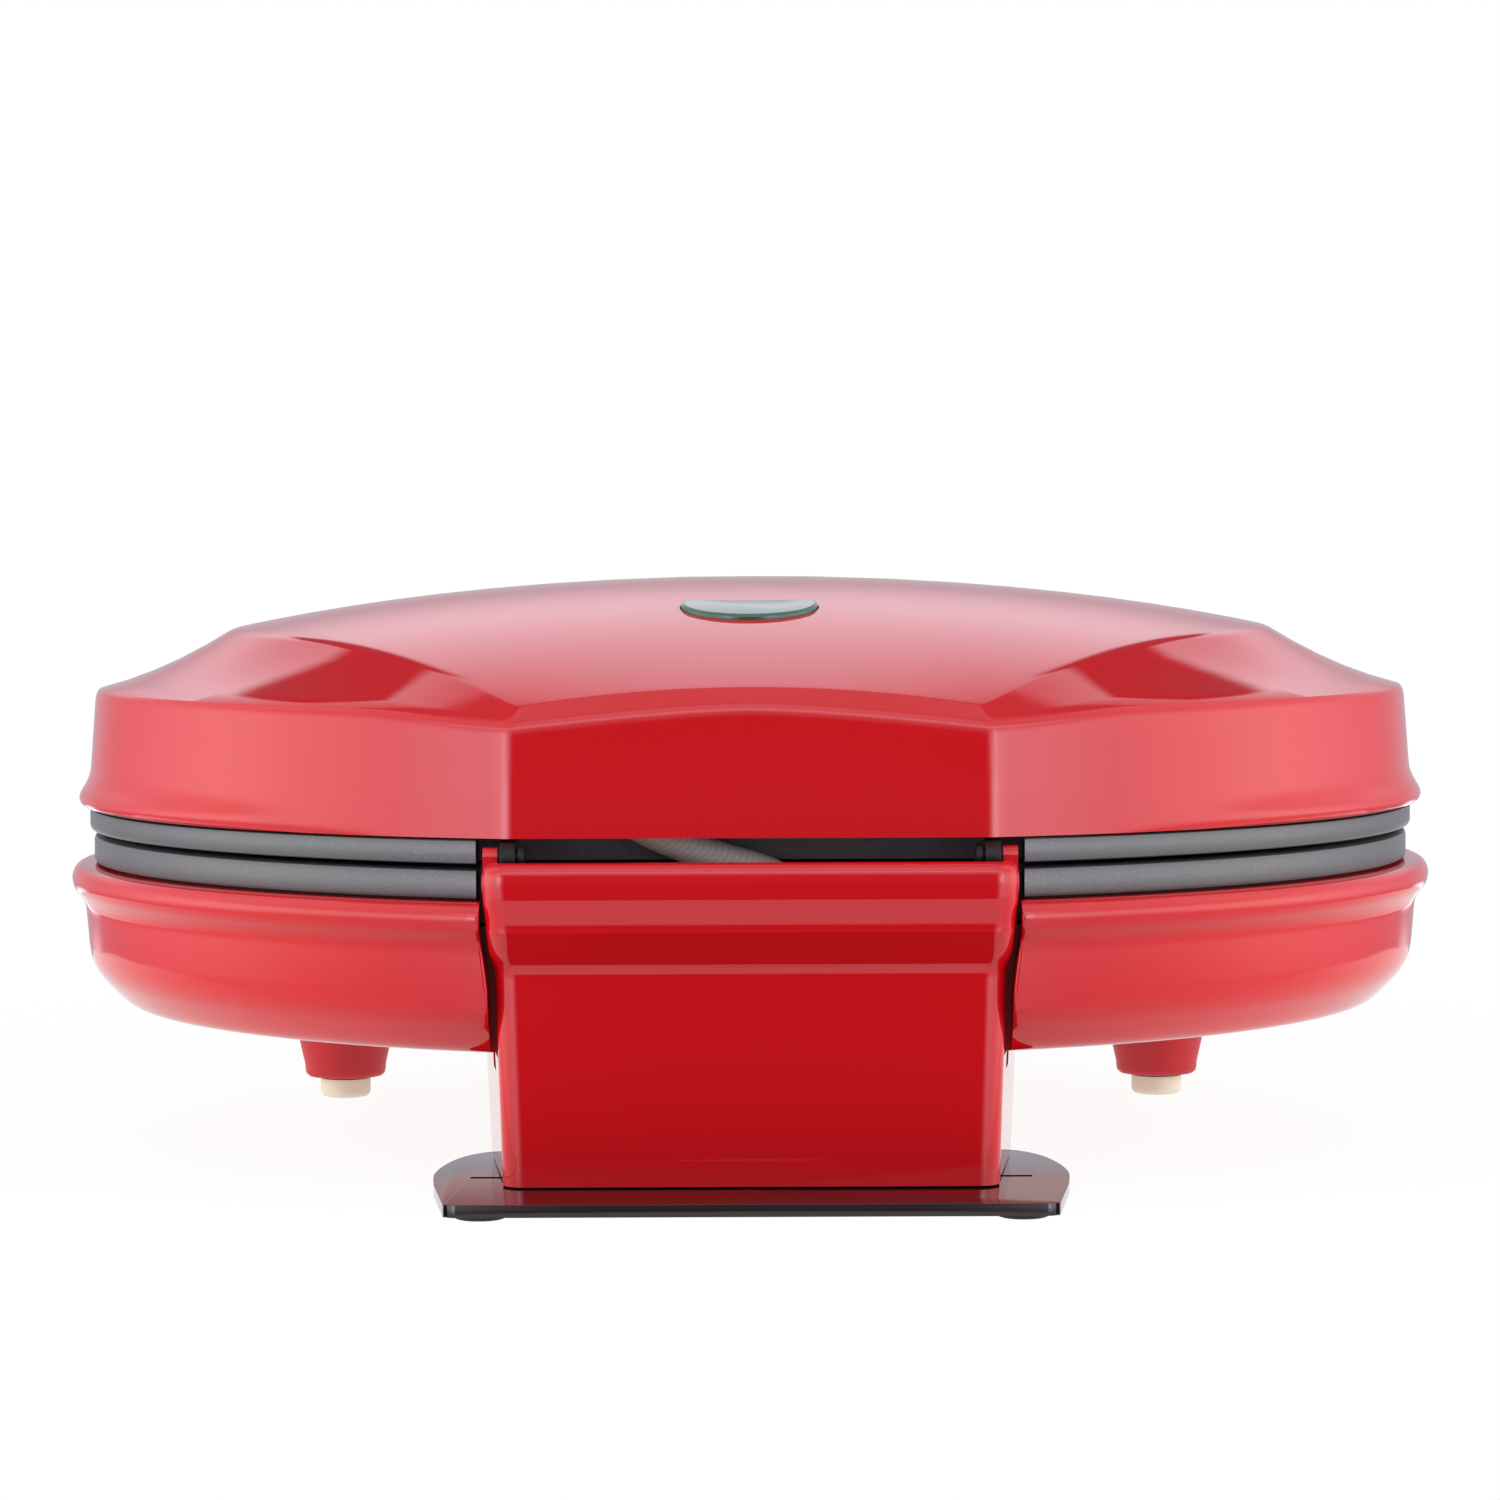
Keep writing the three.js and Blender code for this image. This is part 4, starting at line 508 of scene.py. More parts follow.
leg_profile = [(0, 3.7), (5.6, 3.7), (6.5, 3.85), (7.05, 4.3), (7.22, 4.9), (7.3, 6.0)]
leg_profile += [(10.9, 22.2), (11.3, 22.9), (12.0, 23.25), (12.0, 24.2), (0, 24.2)]
leg = shaded(spun("leg", leg_profile, 64))
for name, side in (("left", 1), ("right", -1)):
    placed = copied(leg, f"leg_{name}", move=(side * leg_spread, leg_y, 0))
    dress(placed, "base", satin_red, "gloss_red")
bpy.data.objects.remove(leg)


# Lid shell: a domed cover in glossy red plastic over a round wall that flares into a lip. A
# vertical flat stands at the front and the rear, under the edges of the crown, and the wall
# is 2.2 mm thick. It hangs on the hinge brackets.
lid_bottom, wall_top, crown_top = 56.6, 75.8, 94.6
flare_rise, lip_reach, foot_inset = 6.6, 2.0, 0.5
flat_reach, flat_share = 105.168, 0.9397
crown_rise, crown_side_fall, crown_side_curl = 16.0, 0.762, 0.165
flat_dip, flat_dip_gain, flat_dip_half = 0.5, 2.8, 38
corner_angle = 70.9
corner_round, corner_draw, corner_draw_angle = 0.0033, 0.0055, 58
bow_middle, bow_drop = 1.1, 2.9
panel_share, panel_flat_share, panel_angle = 0.782, 0.96, 36
shoulder_sag, shoulder_inset, shoulder_rise = 1.1, 0.75, 0.35
head_inset, head_narrowing, head_drop = 1.1, 0.2, 1.9
# the rows of the flare as shares of its [reach, rise], and of the crown as shares of its reach
flare_rows = [(0.30, 0), (0.62, 0.03), (0.87, 0.09), (1, 0.19), (0.97, 0.28), (0.80, 0.39),
              (0.55, 0.51), (0.32, 0.64), (0.14, 0.78), (0.03, 0.92)]
crown_rows = [0.955, 0.91, 0.85, 0.78, 0.70, 0.61, 0.51, 0.40, 0.28, 0.14, 0]


def eased(value, low, high):
    """0 below low, 1 above high, and smooth between them."""
    share = min(max((value - low) / (high - low), 0), 1)
    return share * share * (3 - 2 * share)


def outline_share(angle):
    """The reach of the plan as a share of its radius: a circle with a flat, softly joined."""
    drawn_in = 1 - corner_draw * eased(angle, corner_draw_angle, corner_angle)
    flat = flat_share / max(sin(radians(angle)), 0.01) / drawn_in
    near = max(corner_round - abs(1 - flat), 0) / corner_round
    return drawn_in * (min(1, flat) - corner_round * near * near / 4)


def crown_height(x, y):
    """A dome that falls a little faster towards its sides, and dips along the two flats."""
    across, back = (x / body_radius) ** 2, (y / flat_reach) ** 2
    dip = (flat_dip + flat_dip_gain * min(1, (x / flat_dip_half) ** 2)) * back ** 5
    fall = crown_side_fall * across + crown_side_curl * across ** 2 + back
    return crown_top - crown_rise * fall - dip


def lid_profile(angle):
    """The lid's section at an angle from the X axis, as [reach, height] up to its middle."""
    share = outline_share(angle)
    side = 1 - eased(angle, 36, 66)
    lip = lip_reach * (1 - eased(angle, 28, 62))
    across = min(1, (90 - angle) / (90 - corner_angle))
    bow = (bow_middle - bow_drop * across ** 1.5) * eased(angle, corner_angle - 14, corner_angle)
    top = wall_top + bow
    toward_flat = max(0, min(1, (angle - panel_angle) / (corner_angle - panel_angle))) ** 2
    panel = body_radius * (panel_share + (panel_flat_share - panel_share) * toward_flat)
    sag = shoulder_sag * (1 - eased(angle, 30, 66))

    def on_crown(reach):
        turn = radians(angle)
        return Vector((reach, crown_height(reach * share * cos(turn), reach * share * sin(turn))))

    def bent(start, corner, end, count):
        handles = start.lerp(corner, 0.67), end.lerp(corner, 0.67)
        return interpolate_bezier(start, *handles, end, count)

    foot_reach = body_radius - foot_inset
    rows = [Vector((foot_reach + lip * out, lid_bottom + flare_rise * up))
            for out, up in flare_rows]
    wall_foot = Vector((foot_reach, lid_bottom + flare_rise))
    wall_head = Vector((body_radius - head_inset - head_narrowing * side, top - head_drop))
    rows += [wall_foot.lerp(wall_head, step / 3) for step in range(3)]
    edge = on_crown(panel)
    shoulder = Vector((wall_head.x - shoulder_inset, top + shoulder_rise))
    rows += bent(wall_head, Vector((wall_head.x - 0.12, top - 0.1)), shoulder, 6)

    def on_shoulder(step):
        drop = Vector((0, 4 * sag * step * (1 - step)))
        return shoulder.lerp(edge, step) - drop

    rows += [on_shoulder(step / 5) for step in range(1, 5)]
    inner = on_crown(0.985 * panel)
    rows += bent(on_shoulder(0.95), edge, inner, 7)
    rows += [on_crown(step * panel) for step in crown_rows]
    return rows


def lid_quarter(name):
    """A quarter of the lid as a spun sheet of rows, each point then moved to its section."""
    line = [place(body_radius, 0, row) for row in range(len(lid_profile(0)))]
    piece = begin(name, line[0])
    extrude_along(line)
    bpy.ops.mesh.select_all(action="SELECT")
    middle = place(0, 0, 0)
    # the steps are finer near the corner of the flat, and so are the shares along the flat
    for span, steps in ((corner_angle - 4.5, 44), (3.6, 5), (0.9, 8)):
        bpy.ops.mesh.spin(steps=steps, angle=radians(span), center=middle, axis=(0, 0, 1))
    shares = [0.99, 0.98, 0.97, 0.955, 0.93, 0.88, 0.8]
    shares += [0.1 * k for k in range(7, -1, -1)]
    for before, after in zip([1] + shares, shares):
        bpy.ops.mesh.extrude_region_move()
        bpy.ops.transform.resize(value=(after / before, 1, 1), center_override=middle)
    settle(piece, recalculate=False)
    sections = {}
    for point in piece.data.vertices:
        x, y = point.co.x / mm, (point.co.y - body_y) / mm
        angle = round(degrees(atan2(abs(y), abs(x))), 4)
        if angle not in sections:
            sections[angle] = lid_profile(angle)
        reach, height = sections[angle][round(point.co.z / mm)]
        share = outline_share(angle)
        turn = radians(angle)
        point.co = place(reach * share * cos(turn), reach * share * sin(turn), height)
    return piece


lid = lid_quarter("lid_cover")
with_modifier(lid, "MIRROR", use_axis=(True, False, False), merge_threshold=merge_distance)
for point in lid.data.vertices:
    point.co.y -= body_y
with_modifier(lid, "MIRROR", use_axis=(False, True, False), merge_threshold=merge_distance)
for point in lid.data.vertices:
    point.co.y += body_y
pick(lid)
bpy.ops.object.mode_set(mode="EDIT")
settle(lid)
with_modifier(lid, "SOLIDIFY", thickness=wall * mm, offset=-1)

# the window's seat is square to the crown
lens_radius, lens_y, lens_chord, lens_hollow = 11.0, 53.0, 3.5, 0.9
lens_gap, lens_steps, lens_chord_steps = 0.22, 48, 16
lens_slope = atan2(-2 * crown_rise * lens_y, flat_reach ** 2)
lens_seat = place(0, lens_y, crown_height(0, lens_y))


def lens_outline(grow, z):
    """The window's D: most of a circle, and a straight side that bows in a little."""
    radius, chord = lens_radius + grow, lens_chord + grow
    turn = asin(chord / radius)
    arc = [-turn + (pi + 2 * turn) * k / lens_steps for k in range(lens_steps + 1)]
    points = [(radius * cos(a), radius * sin(a), z) for a in arc]
    width = radius * cos(turn)
    bow = [2 * k / lens_chord_steps - 1 for k in range(1, lens_chord_steps)]
    return points + [(width * t, -chord + lens_hollow * (1 - t * t), z) for t in bow]


def seated(piece):
    """Moves a form that was made flat at the middle of the body to the window's seat."""
    pick(piece)
    for point in piece.data.vertices:
        point.co.y -= body_y
    piece.rotation_euler.x = lens_slope
    piece.location = lens_seat
    bpy.ops.object.transform_apply(location=True, rotation=True, scale=True)
    return piece


lens_hole = seated(drawn("lens_hole", lens_outline(lens_gap, -8), (0, 0, 12)))
cut(lid, lens_hole)
dress(shaded(lid, 30), "lid", gloss_red, "gloss_red", "lid_shell")


# Indicator window: a D-shaped lens of clear green plastic, snapped into its hole in the lid
# and standing a little proud, with a bevel all round.
lens_sunk, lens_thick = 3.6, 4.25
lens_face_low, lens_face_high = (0.15, 0.28, 0.23, 1), (0.19, 0.33, 0.28, 1)
lens_rim = (0.045, 0.13, 0.09, 1)
lens_rim_start, lens_rim_end = 0.0101, 0.0107


def with_bevel(piece, width, segments, angle):
    """Rounds the edges that are sharper than an angle."""
    return with_modifier(piece, "BEVEL", width=width * mm, segments=segments,
                         limit_method="ANGLE", angle_limit=radians(angle))


green_lens, shader, where = new_finish(
    "green_lens_plastic", IOR=1.49, Roughness=0.03, Transmission_Weight=0.12)
face = grain(where, 240).mixed(lens_face_low, lens_face_high)
from_seat = where.node("ShaderNodeVectorMath", {"operation": "DISTANCE"},
                       {0: where, 1: lens_seat + Vector((0, 0, mm))}, "Value")
rim_share = from_seat.between(lens_rim_start, lens_rim_end)
rim_share.mixed(face, lens_rim).into(shader.inputs["Base Color"])
window = drawn("indicator_window", lens_outline(0, -lens_sunk), (0, 0, lens_thick))
with_bevel(window, 0.55, 4, 60)
dress(shaded(seated(window)), "lid", green_lens, "green_lens", "indicator_lens")


# Stand: the block behind the body and the neck under it, one hollow moulding in glossy red
# plastic, screwed up into the base. Two ears on the block carry the hinge pins.
stand_half, stand_corner = 40.7, 3.8
block_front, block_rear = 94.768, 109.968
neck_bottom, neck_top, stand_top = 3.3, 22.8, 53.1
neck_front, neck_front_half, neck_rear, neck_rear_half = 57.968, 42.7, 100, 38.6
neck_taper = 0.9 / 40
room_half, room_bottom, room_front = 36, 5.5, 96.97
bay_half, bay_foot, bay_top = 38.2, 48.1, 60
hinge_y, hinge_z, knuckle_radius = 104.968, 53.8, 1.55
ear_inner, ear_outer, ear_drop = 38.2, 40.45, 4.4
level_tolerance = 0.004


def select(piece, test):
    """Selects the points of a piece that pass a test on their place in millimetres."""
    bpy.ops.object.mode_set(mode="EDIT")
    bpy.ops.mesh.select_mode(type="VERT")
    bpy.ops.mesh.select_all(action="DESELECT")
    bpy.ops.object.mode_set(mode="OBJECT")
    for point in piece.data.vertices:
        x, y, z = point.co / mm
        point.select = bool(test(x, y - body_y / mm, z))
    bpy.ops.object.mode_set(mode="EDIT")


def along(table, height):
    """The value at a height, on straight lines between the entries of a table."""
    for (low, before), (high, after) in zip(table, table[1:]):
        if height < high:
            return before + (after - before) * (height - low) / (high - low)
    return table[-1][1]


def sliced(piece, heights):
    """Cuts level rings of edges into a piece."""
    bpy.ops.object.mode_set(mode="EDIT")
    for height in heights:
        bpy.ops.mesh.select_all(action="SELECT")
        bpy.ops.mesh.bisect(plane_co=place(0, 0, height), plane_no=(0, 0, 1))
    bpy.ops.object.mode_set(mode="OBJECT")


rear_profile = [(34.4, 104.96), (35.6, 105.0), (36.6, 105.13), (37.3, 105.4), (38.0, 105.85),
                (42.3, 108.95), (42.7, 109.08), (45.3, 109.5), (47.5, 109.79),
                (47.95, 109.83), (50.4, 109.94), (51.6, 109.86), (52.3, 109.62),
                (52.8, 109.2), (stand_top, 108.6)]
rear_profile = [(neck_bottom, 103.07)] + [(p.x, p.y) for p in through_points(rear_profile, 3)]
# how much narrower the stand is than its block, on each side
narrowing = [(neck_bottom, 2.7), (34.0, 1.8), (36.4, 1.71), (37.7, 1.26), (39.0, 0.8),
             (41.2, 0.74), (45.6, 0.36), (50.0, 0), (51.5, 0.1), (52.3, 0.36), (52.8, 0.75),
             (stand_top, 1.3)]
corner = [(stand_half - stand_corner * (1 - cos(pi / 2 * k / 8)),
           block_rear - stand_corner * (1 - sin(pi / 2 * k / 8)), neck_bottom)
          for k in range(9)]
corner = [(stand_half, block_front, neck_bottom)] + corner
corner += [(-x, y, z) for x, y, z in reversed(corner)]
column = drawn("rear_column", corner, (0, 0, stand_top - neck_bottom))
sliced(column, [height for height, _ in rear_profile[1:-1]])
middle = place(0, 0, 0)
for height, rear in rear_profile:
    select(column, lambda x, y, z: abs(z - height) < level_tolerance and y > 100)
    bpy.ops.transform.translate(value=(0, (rear - block_rear) * mm, 0))
    select(column, lambda x, y, z: abs(z - height) < level_tolerance)
    width = 1 - along(narrowing, height) / stand_half
    bpy.ops.transform.resize(value=(width, 1, 1), center_override=middle)
settle(column)

neck = block("neck", (-neck_front_half, neck_front, neck_bottom),
             (neck_front_half, neck_rear, neck_top))
select(neck, lambda x, y, z: y > neck_rear - 1)
bpy.ops.transform.resize(value=(neck_rear_half / neck_front_half, 1, 1), center_override=middle)
select(neck, lambda x, y, z: z < neck_top - 1)
bpy.ops.transform.resize(value=(1 - neck_taper, 1, 1), center_override=middle)
bpy.ops.object.mode_set(mode="OBJECT")
for side in (1, -1):
    select_edges(neck, lambda x, y, z: x * side > 0 and y < neck_front + 1)
    bpy.ops.mesh.bevel(offset=2 * mm, segments=6)
    bpy.ops.object.mode_set(mode="OBJECT")
bpy.ops.object.mode_set(mode="EDIT")
settle(neck)
joined(column, neck)
# the rooms in the neck and the column, the hinge bay with its foot and its open front, and
# the slots in the neck's sides
rooms = [
    ((-room_half, 60.2, room_bottom), (room_half, 96, 30)),
    ((-room_half, room_front, room_bottom), (room_half, 101.5, 40)),
    ((-bay_half, room_front, 38.5), (bay_half, 103.6, 44)),
    ((-bay_half, room_front, 42.5), (bay_half, 107.6, bay_top)),
    ((-bay_half, 90, bay_foot), (bay_half, 100, bay_top)),
    ((-50, 84.4, 19.9), (50, 91.4, 30)),
]
for low, high in rooms:
    cut(column, block("room", low, high))
bpy.ops.object.select_all(action="DESELECT")
bpy.ops.mesh.primitive_cylinder_add(
    vertices=48, radius=knuckle_radius * mm, depth=(ear_outer - ear_inner) * mm,
    location=place((ear_inner + ear_outer) / 2, hinge_y, hinge_z), rotation=(0, pi / 2, 0))
ear = bpy.context.object
ear.name = "ear"
bpy.ops.object.transform_apply(location=True, rotation=True, scale=True)
select(ear, lambda x, y, z: z < hinge_z - 0.01)
bpy.ops.transform.translate(value=(0, 0, -ear_drop * mm))
bpy.ops.object.mode_set(mode="OBJECT")
for flip in (1, -1):
    joined(column, copied(ear, "ear", (flip, 1, 1)))
bpy.data.objects.remove(ear)
dress(shaded(column, 32), "base", gloss_red, "gloss_red", "rear_stand")


# Foot plate: a thin glossy black plate under the stand, wider than it, that the cord winds
# round. It is moulded with rolled edges and a slit beside each side of the neck.
plate_rear, plate_bottom, plate_thick = 120.568, 1.1, 1.9
slit_inner, slit_outer, slit_front, slit_rear = 38.7, 43.5, 87.97, 89.97
gloss_black = moulded("gloss_black_plastic", (0.014, 0.009, 0.010), (0.022, 0.014, 0.015), 20,
                      (0.06, 0.05, 90), (300, 0.04, 0.05), IOR=1.5)

rear_corner = [(44.1, plate_rear), (45.0, 120.25), (45.75, 119.5), (46.2, 118.2), (48.6, 98.0)]
side_curve = [(48.9, 94.47), (49.3, 88), (49.35, 82.8), (48.6, 74.5), (47.0, 66.2),
              (44.9, 60.6), (42.9, 57.7), (41.2, 56.3)]
front_corner = [(40.4, 55.98), (39.0, 55.968)]
plate_outline = [(point.x, point.y, plate_bottom)
                 for run, steps in ((rear_corner, 4), (side_curve, 4), (front_corner, 2))
                 for point in through_points(run, steps)]
plate_outline += [(-x, y, z) for x, y, z in reversed(plate_outline)]
foot_plate = drawn("cord_plate", plate_outline, (0, 0, plate_thick))
with_bevel(foot_plate, 0.8, 5, 50)
slit = block("slit", (slit_inner, slit_front, 0), (slit_outer, slit_rear, 5))
for flip in (1, -1):
    cut(foot_plate, copied(slit, "slit", (flip, 1, 1)))
bpy.data.objects.remove(slit)
dress(shaded(foot_plate, 40), "base", gloss_black, "gloss_black", "foot_plate")


# Feet: two dark rubber pads pressed into the foot plate, and two cream rubber tips under
# the legs.
pad_spread, pad_y = 40.8, 113.068
dark_rubber = moulded("dark_rubber", (0.020, 0.019, 0.020), (0.034, 0.032, 0.034), 150,
                      (0.6, 0.2, 900), (2200, 0.3, 0.04), Specular_IOR_Level=0.3)
cream_rubber = moulded("cream_rubber", (0.70, 0.64, 0.50), (0.78, 0.72, 0.58), 180,
                       (0.5, 0.2, 900), (2200, 0.3, 0.04), Specular_IOR_Level=0.4)

pad_profile = [(0, 0), (3.3, 0), (3.7, 0.12), (3.88, 0.35), (3.88, 0.8), (1.7, 0.8), (1.7, 2.9),
               (0, 2.9)]
tip_profile = [(0, 0), (3.2, 0), (3.9, 0.15), (4.3, 0.5), (4.5, 1.1), (4.5, 3.4), (2.2, 3.4),
               (2.2, 7.3), (0, 7.3)]
pad = shaded(spun("pad", pad_profile, 48))
tip = shaded(spun("tip", tip_profile, 48))
for name, side in (("left", 1), ("right", -1)):
    placed = copied(pad, f"rear_pad_{name}", move=(side * pad_spread, pad_y, 0))
    dress(placed, "base", dark_rubber, "dark_rubber", f"rear_foot_{name}")
    placed = copied(tip, f"leg_tip_{name}", move=(side * leg_spread, leg_y, 0))
    dress(placed, "base", cream_rubber, "cream_rubber", f"front_foot_{name}")
bpy.data.objects.remove(pad)
bpy.data.objects.remove(tip)


# Cooking plates: cast aluminium with a dark non-stick coat. Each has a rounded rim, four
# pockets parted by a cross, and tapered studs that press the waffle pattern. Three screws
# hold it, each sunk in a round pad between the studs.
non_stick, shader, where = new_finish("non_stick_coat", Metallic=0.35, IOR=1.5)
speck = grain(where, 3500)
coat_stops = [(0.60, (0.105, 0.107, 0.112, 1)), (0.72, (0.17, 0.172, 0.178, 1))]
coat = speck.node("ShaderNodeValToRGB", {"stops": coat_stops}, {0: speck})
coat.into(shader.inputs["Base Color"])
textured(shader, where, (0.30, 0.12, 500), (1500, 0.12, 0.05))

plate_notch_half, collar_radius, collar_front = 41.6, 109.7, 102.81
rim_width, plate_back, pocket_depth, stud_reach = 6.0, 8.8, 5.8, 2.9
bar_tip, bar_root, bar_reach, bar_length = 4.0, 7.0, 0.5, 220
stud_root, stud_tip, stud_pitch, stud_circle = 15.0, 10.5, 22.0, 94.9
pad_radius, pad_tip = 6.5, 5.6
screw_circle, screw_seat, screw_head_hole, screw_shank_hole = 62, 5.0, 3.95, 2.05
screw_places = [(screw_circle * cos(radians(a)), screw_circle * sin(radians(a)))
                for a in (30, 150, 270)]
lower_plane, lower_radius, lower_rim_height = 51.8, 111.5, 4.5
upper_plane, upper_radius, upper_rim_height = 52.67, 112.2, 3.63
sunk, spare = 0.2, 0.3


def notched(piece, half, reach, low, high):
    """Cuts the notch for the hinge out of the rear of a slab."""
    cutter = block("notch", (-half, reach, low - 5), (half, 130, high + 5))
    return cut(piece, cutter)


def flattened(piece, flat, low, high):
    """Cuts a flat at a distance in front of the middle, between two heights."""
    return cut(piece, block("front", (-120, -130, low), (120, -flat, high)))


def is_stud_place(x, y):
    """Studs keep clear of the rim, the notch and the screw pads."""
    half = stud_root / 2
    in_notch = y + half > notch_reach - rim_width and abs(x) < plate_notch_half + rim_width + half
    on_pad = any((Vector((x, y)) - Vector(at)).length < pad_radius + stud_tip / 2
                 for at in screw_places)
    return Vector((x, y)).length < stud_circle and not in_notch and not on_pad


def stud_field(height):
    """All the studs of a plate in one object, copied from the first."""
    across = [bar_root / 2 + stud_pitch * (k + 0.5) for k in range(4)]
    across = [-x for x in reversed(across)] + across
    half = stud_root / 2
    first = block("stud", (-half, -half, height(pocket_depth + sunk)),
                  (half, half, height(stud_reach)))
    select(first, lambda x, y, z: abs(z - height(stud_reach)) < 0.1)
    size = stud_tip / stud_root
    bpy.ops.transform.resize(value=(size, size, 1), center_override=place(0, 0, 0))
    settle(first)
    with_bevel(first, 1.1, 3, 40)
    studs = [copied(first, "stud", move=(x, y, 0)) for x in across for y in across
             if is_stud_place(x, y)]
    bpy.data.objects.remove(first)
    bpy.ops.object.select_all(action="DESELECT")
    for stud in studs:
        stud.select_set(True)
    bpy.context.view_layer.objects.active = studs[0]
    bpy.ops.object.join()
    return studs[0]


def cooking_plate(name, plane, towards, radius, rim_height, front):
    """A plate from its rim plane, towards its back. The front is a flat at that distance."""
    def height(depth):
        return plane + towards * depth

    def turned(label, profile, steps=48):
        return spun(label, [(reach, height(depth)) for reach, depth in profile], steps)

    def pocket_slab(label, grow, near, far):
        """A disc inside the rim, with the rim's notch and front flat."""
        low, high = sorted((height(near), height(far)))
        reach = radius - rim_width + grow
        disc = spun(label, [(0, low), (reach, low), (reach, high), (0, high)], round_steps)
        half, rear = plate_notch_half + rim_width - grow, notch_reach - rim_width + grow
        notched(disc, half, rear, low, high)
        return flattened(disc, front - rim_width + grow, 40, 70)

    plate = turned(name, [
        (0, 0), (radius - 0.8, 0), (radius - 0.25, 0.2), (radius, 0.75),
        (radius, rim_height - 0.6), (radius - 0.2, rim_height - 0.15),
        (radius - 0.6, rim_height), (collar_radius + 0.4, rim_height),
        (collar_radius, rim_height + 0.4), (collar_radius, plate_back - 0.5),
        (collar_radius - 0.5, plate_back), (0, plate_back)], round_steps)
    notched(plate, plate_notch_half, notch_reach, 43, 62)
    pocket = pocket_slab("pocket", 0, -2, pocket_depth)
    room = pocket_slab("room", spare, 0, plate_back)
    with_bevel(pocket, 1.3, 3, 40)
    cut(plate, pocket)

    # the cross, whose bars run under the rim, and the studs
    half_section = [(bar_root / 2, pocket_depth + sunk), (bar_tip / 2 + 0.25, bar_reach + 0.5),
                    (bar_tip / 2 - 0.4, bar_reach)]
    section = [(-t, depth) for t, depth in half_section] + half_section[::-1]
    start = -bar_length / 2
    cross = drawn("bar", [(start, t, height(d)) for t, d in section], (bar_length, 0, 0))
    other = drawn("bar", [(t, start, height(d)) for t, d in section], (0, bar_length, 0))
    joined(cross, other)
    joined(plate, combined(cross, "INTERSECT", room))
    joined(plate, stud_field(height))

    pad = turned("pad", [
        (0, pocket_depth + 0.3), (pad_radius, pocket_depth + 0.3),
        (pad_tip + 0.1, stud_reach + 0.5), (pad_tip - 0.4, stud_reach), (0, stud_reach)])
    hole = turned("hole", [
        (0, -1), (screw_head_hole, -1), (screw_head_hole, screw_seat),
        (screw_shank_hole, screw_seat), (screw_shank_hole, 12), (0, 12)])
    for x, y in screw_places:
        joined(plate, copied(pad, "pad", move=(x, y, 0)))
        cut(plate, copied(hole, "hole", move=(x, y, 0)))
    bpy.data.objects.remove(pad)
    bpy.data.objects.remove(hole)
    # a flat on the rim, and a deeper one on the collar, which fits inside the lid's wall
    if front < radius:
        flattened(plate, front, 50, 56.5)
        flattened(plate, collar_front, 56.29, 64)
    return shaded(plate)


lower = cooking_plate(
    "lower_cooking_plate", lower_plane, -1, lower_radius, lower_rim_height, lower_radius)
upper = cooking_plate(
    "upper_cooking_plate", upper_plane, 1, upper_radius, upper_rim_height, flat_reach)
dress(lower, "base", non_stick, "non_stick", "lower_plate")
dress(upper, "lid", non_stick, "non_stick", "upper_plate")


# Plate screws: three pan-head screws of steel in each plate, with a cross recess, driven
# through the plate and the reflector into the bosses of the shell.
head_radius, head_height, shank_radius, screw_length = 3.6, 1.5, 1.7, 19.0
lower_screw_top, upper_screw_top = 48.6, 55.87
recess_reach, recess_half, recess_depth, recess_taper = 1.4, 0.36, 0.75, 0.6
steel = moulded("zinc_steel", (0.50, 0.50, 0.49), (0.62, 0.62, 0.60), 400,
                (0.28, 0.16, 1200), (2500, 0.15, 0.03), Metallic=1.0)


def pan_screw(name, head, shank, rise, length):
    """A screw with its head up at height 0, and a cross recess in the head."""
    screw = spun(name, [(0, -length), (0.4 * shank, -length), (shank, 1.6 * shank - length),
                        (shank, -rise), (0.97 * head, -rise), (head, 0.1 - rise),
                        (head, -0.55 * rise), (0.9 * head, -0.2 * rise), (0.66 * head, 0), (0, 0)],
                 48)
    for along_x, along_y in ((recess_reach, recess_half), (recess_half, recess_reach)):
        arm = block("recess", (-along_x * shank, -along_y * shank, -recess_depth * rise),
                    (along_x * shank, along_y * shank, 1))
        select(arm, lambda x, y, z: z < 0)
        bpy.ops.transform.resize(value=(recess_taper, recess_taper, 1),
                                 center_override=place(0, 0, 0))
        bpy.ops.object.mode_set(mode="OBJECT")
        cut(screw, arm)
    return shaded(screw)


plate_screw = pan_screw("plate_screw", head_radius, shank_radius, head_height, screw_length)
for number, (x, y) in enumerate(screw_places, 1):
    for plate, body, top, turn in (("lower", "base", lower_screw_top, 1),
                                   ("upper", "lid", upper_screw_top, -1)):
        screw = copied(plate_screw, f"{plate}_screw_{number}", (1, 1, turn), (x, y, top))
        dress(screw, body, steel, "steel", f"{plate}_plate_screw_{number}")
bpy.data.objects.remove(plate_screw)


# Hinge brackets: two straps of blackened steel strip, folded into a flange that is screwed to
# the lid. Their eyes turn on two short pins that are held in the ears of the stand.
strap_inner, strap_thick, eye_radius, eye_hole = 35.5, 2.4, 2.3, 1.15
flange_inner, flange_front, flange_rear = 26.5, 96.57, 102.37
flange_bottom, flange_top = 65.8, 68.2
flange_hole, flange_hole_x, flange_hole_y = 1.8, 30.9, 99.17
black_steel = moulded("blackened_steel", (0.012, 0.010, 0.010), (0.026, 0.022, 0.022), 500,
                      (0.38, 0.18, 1400), (2600, 0.2, 0.03), Metallic=0.8)

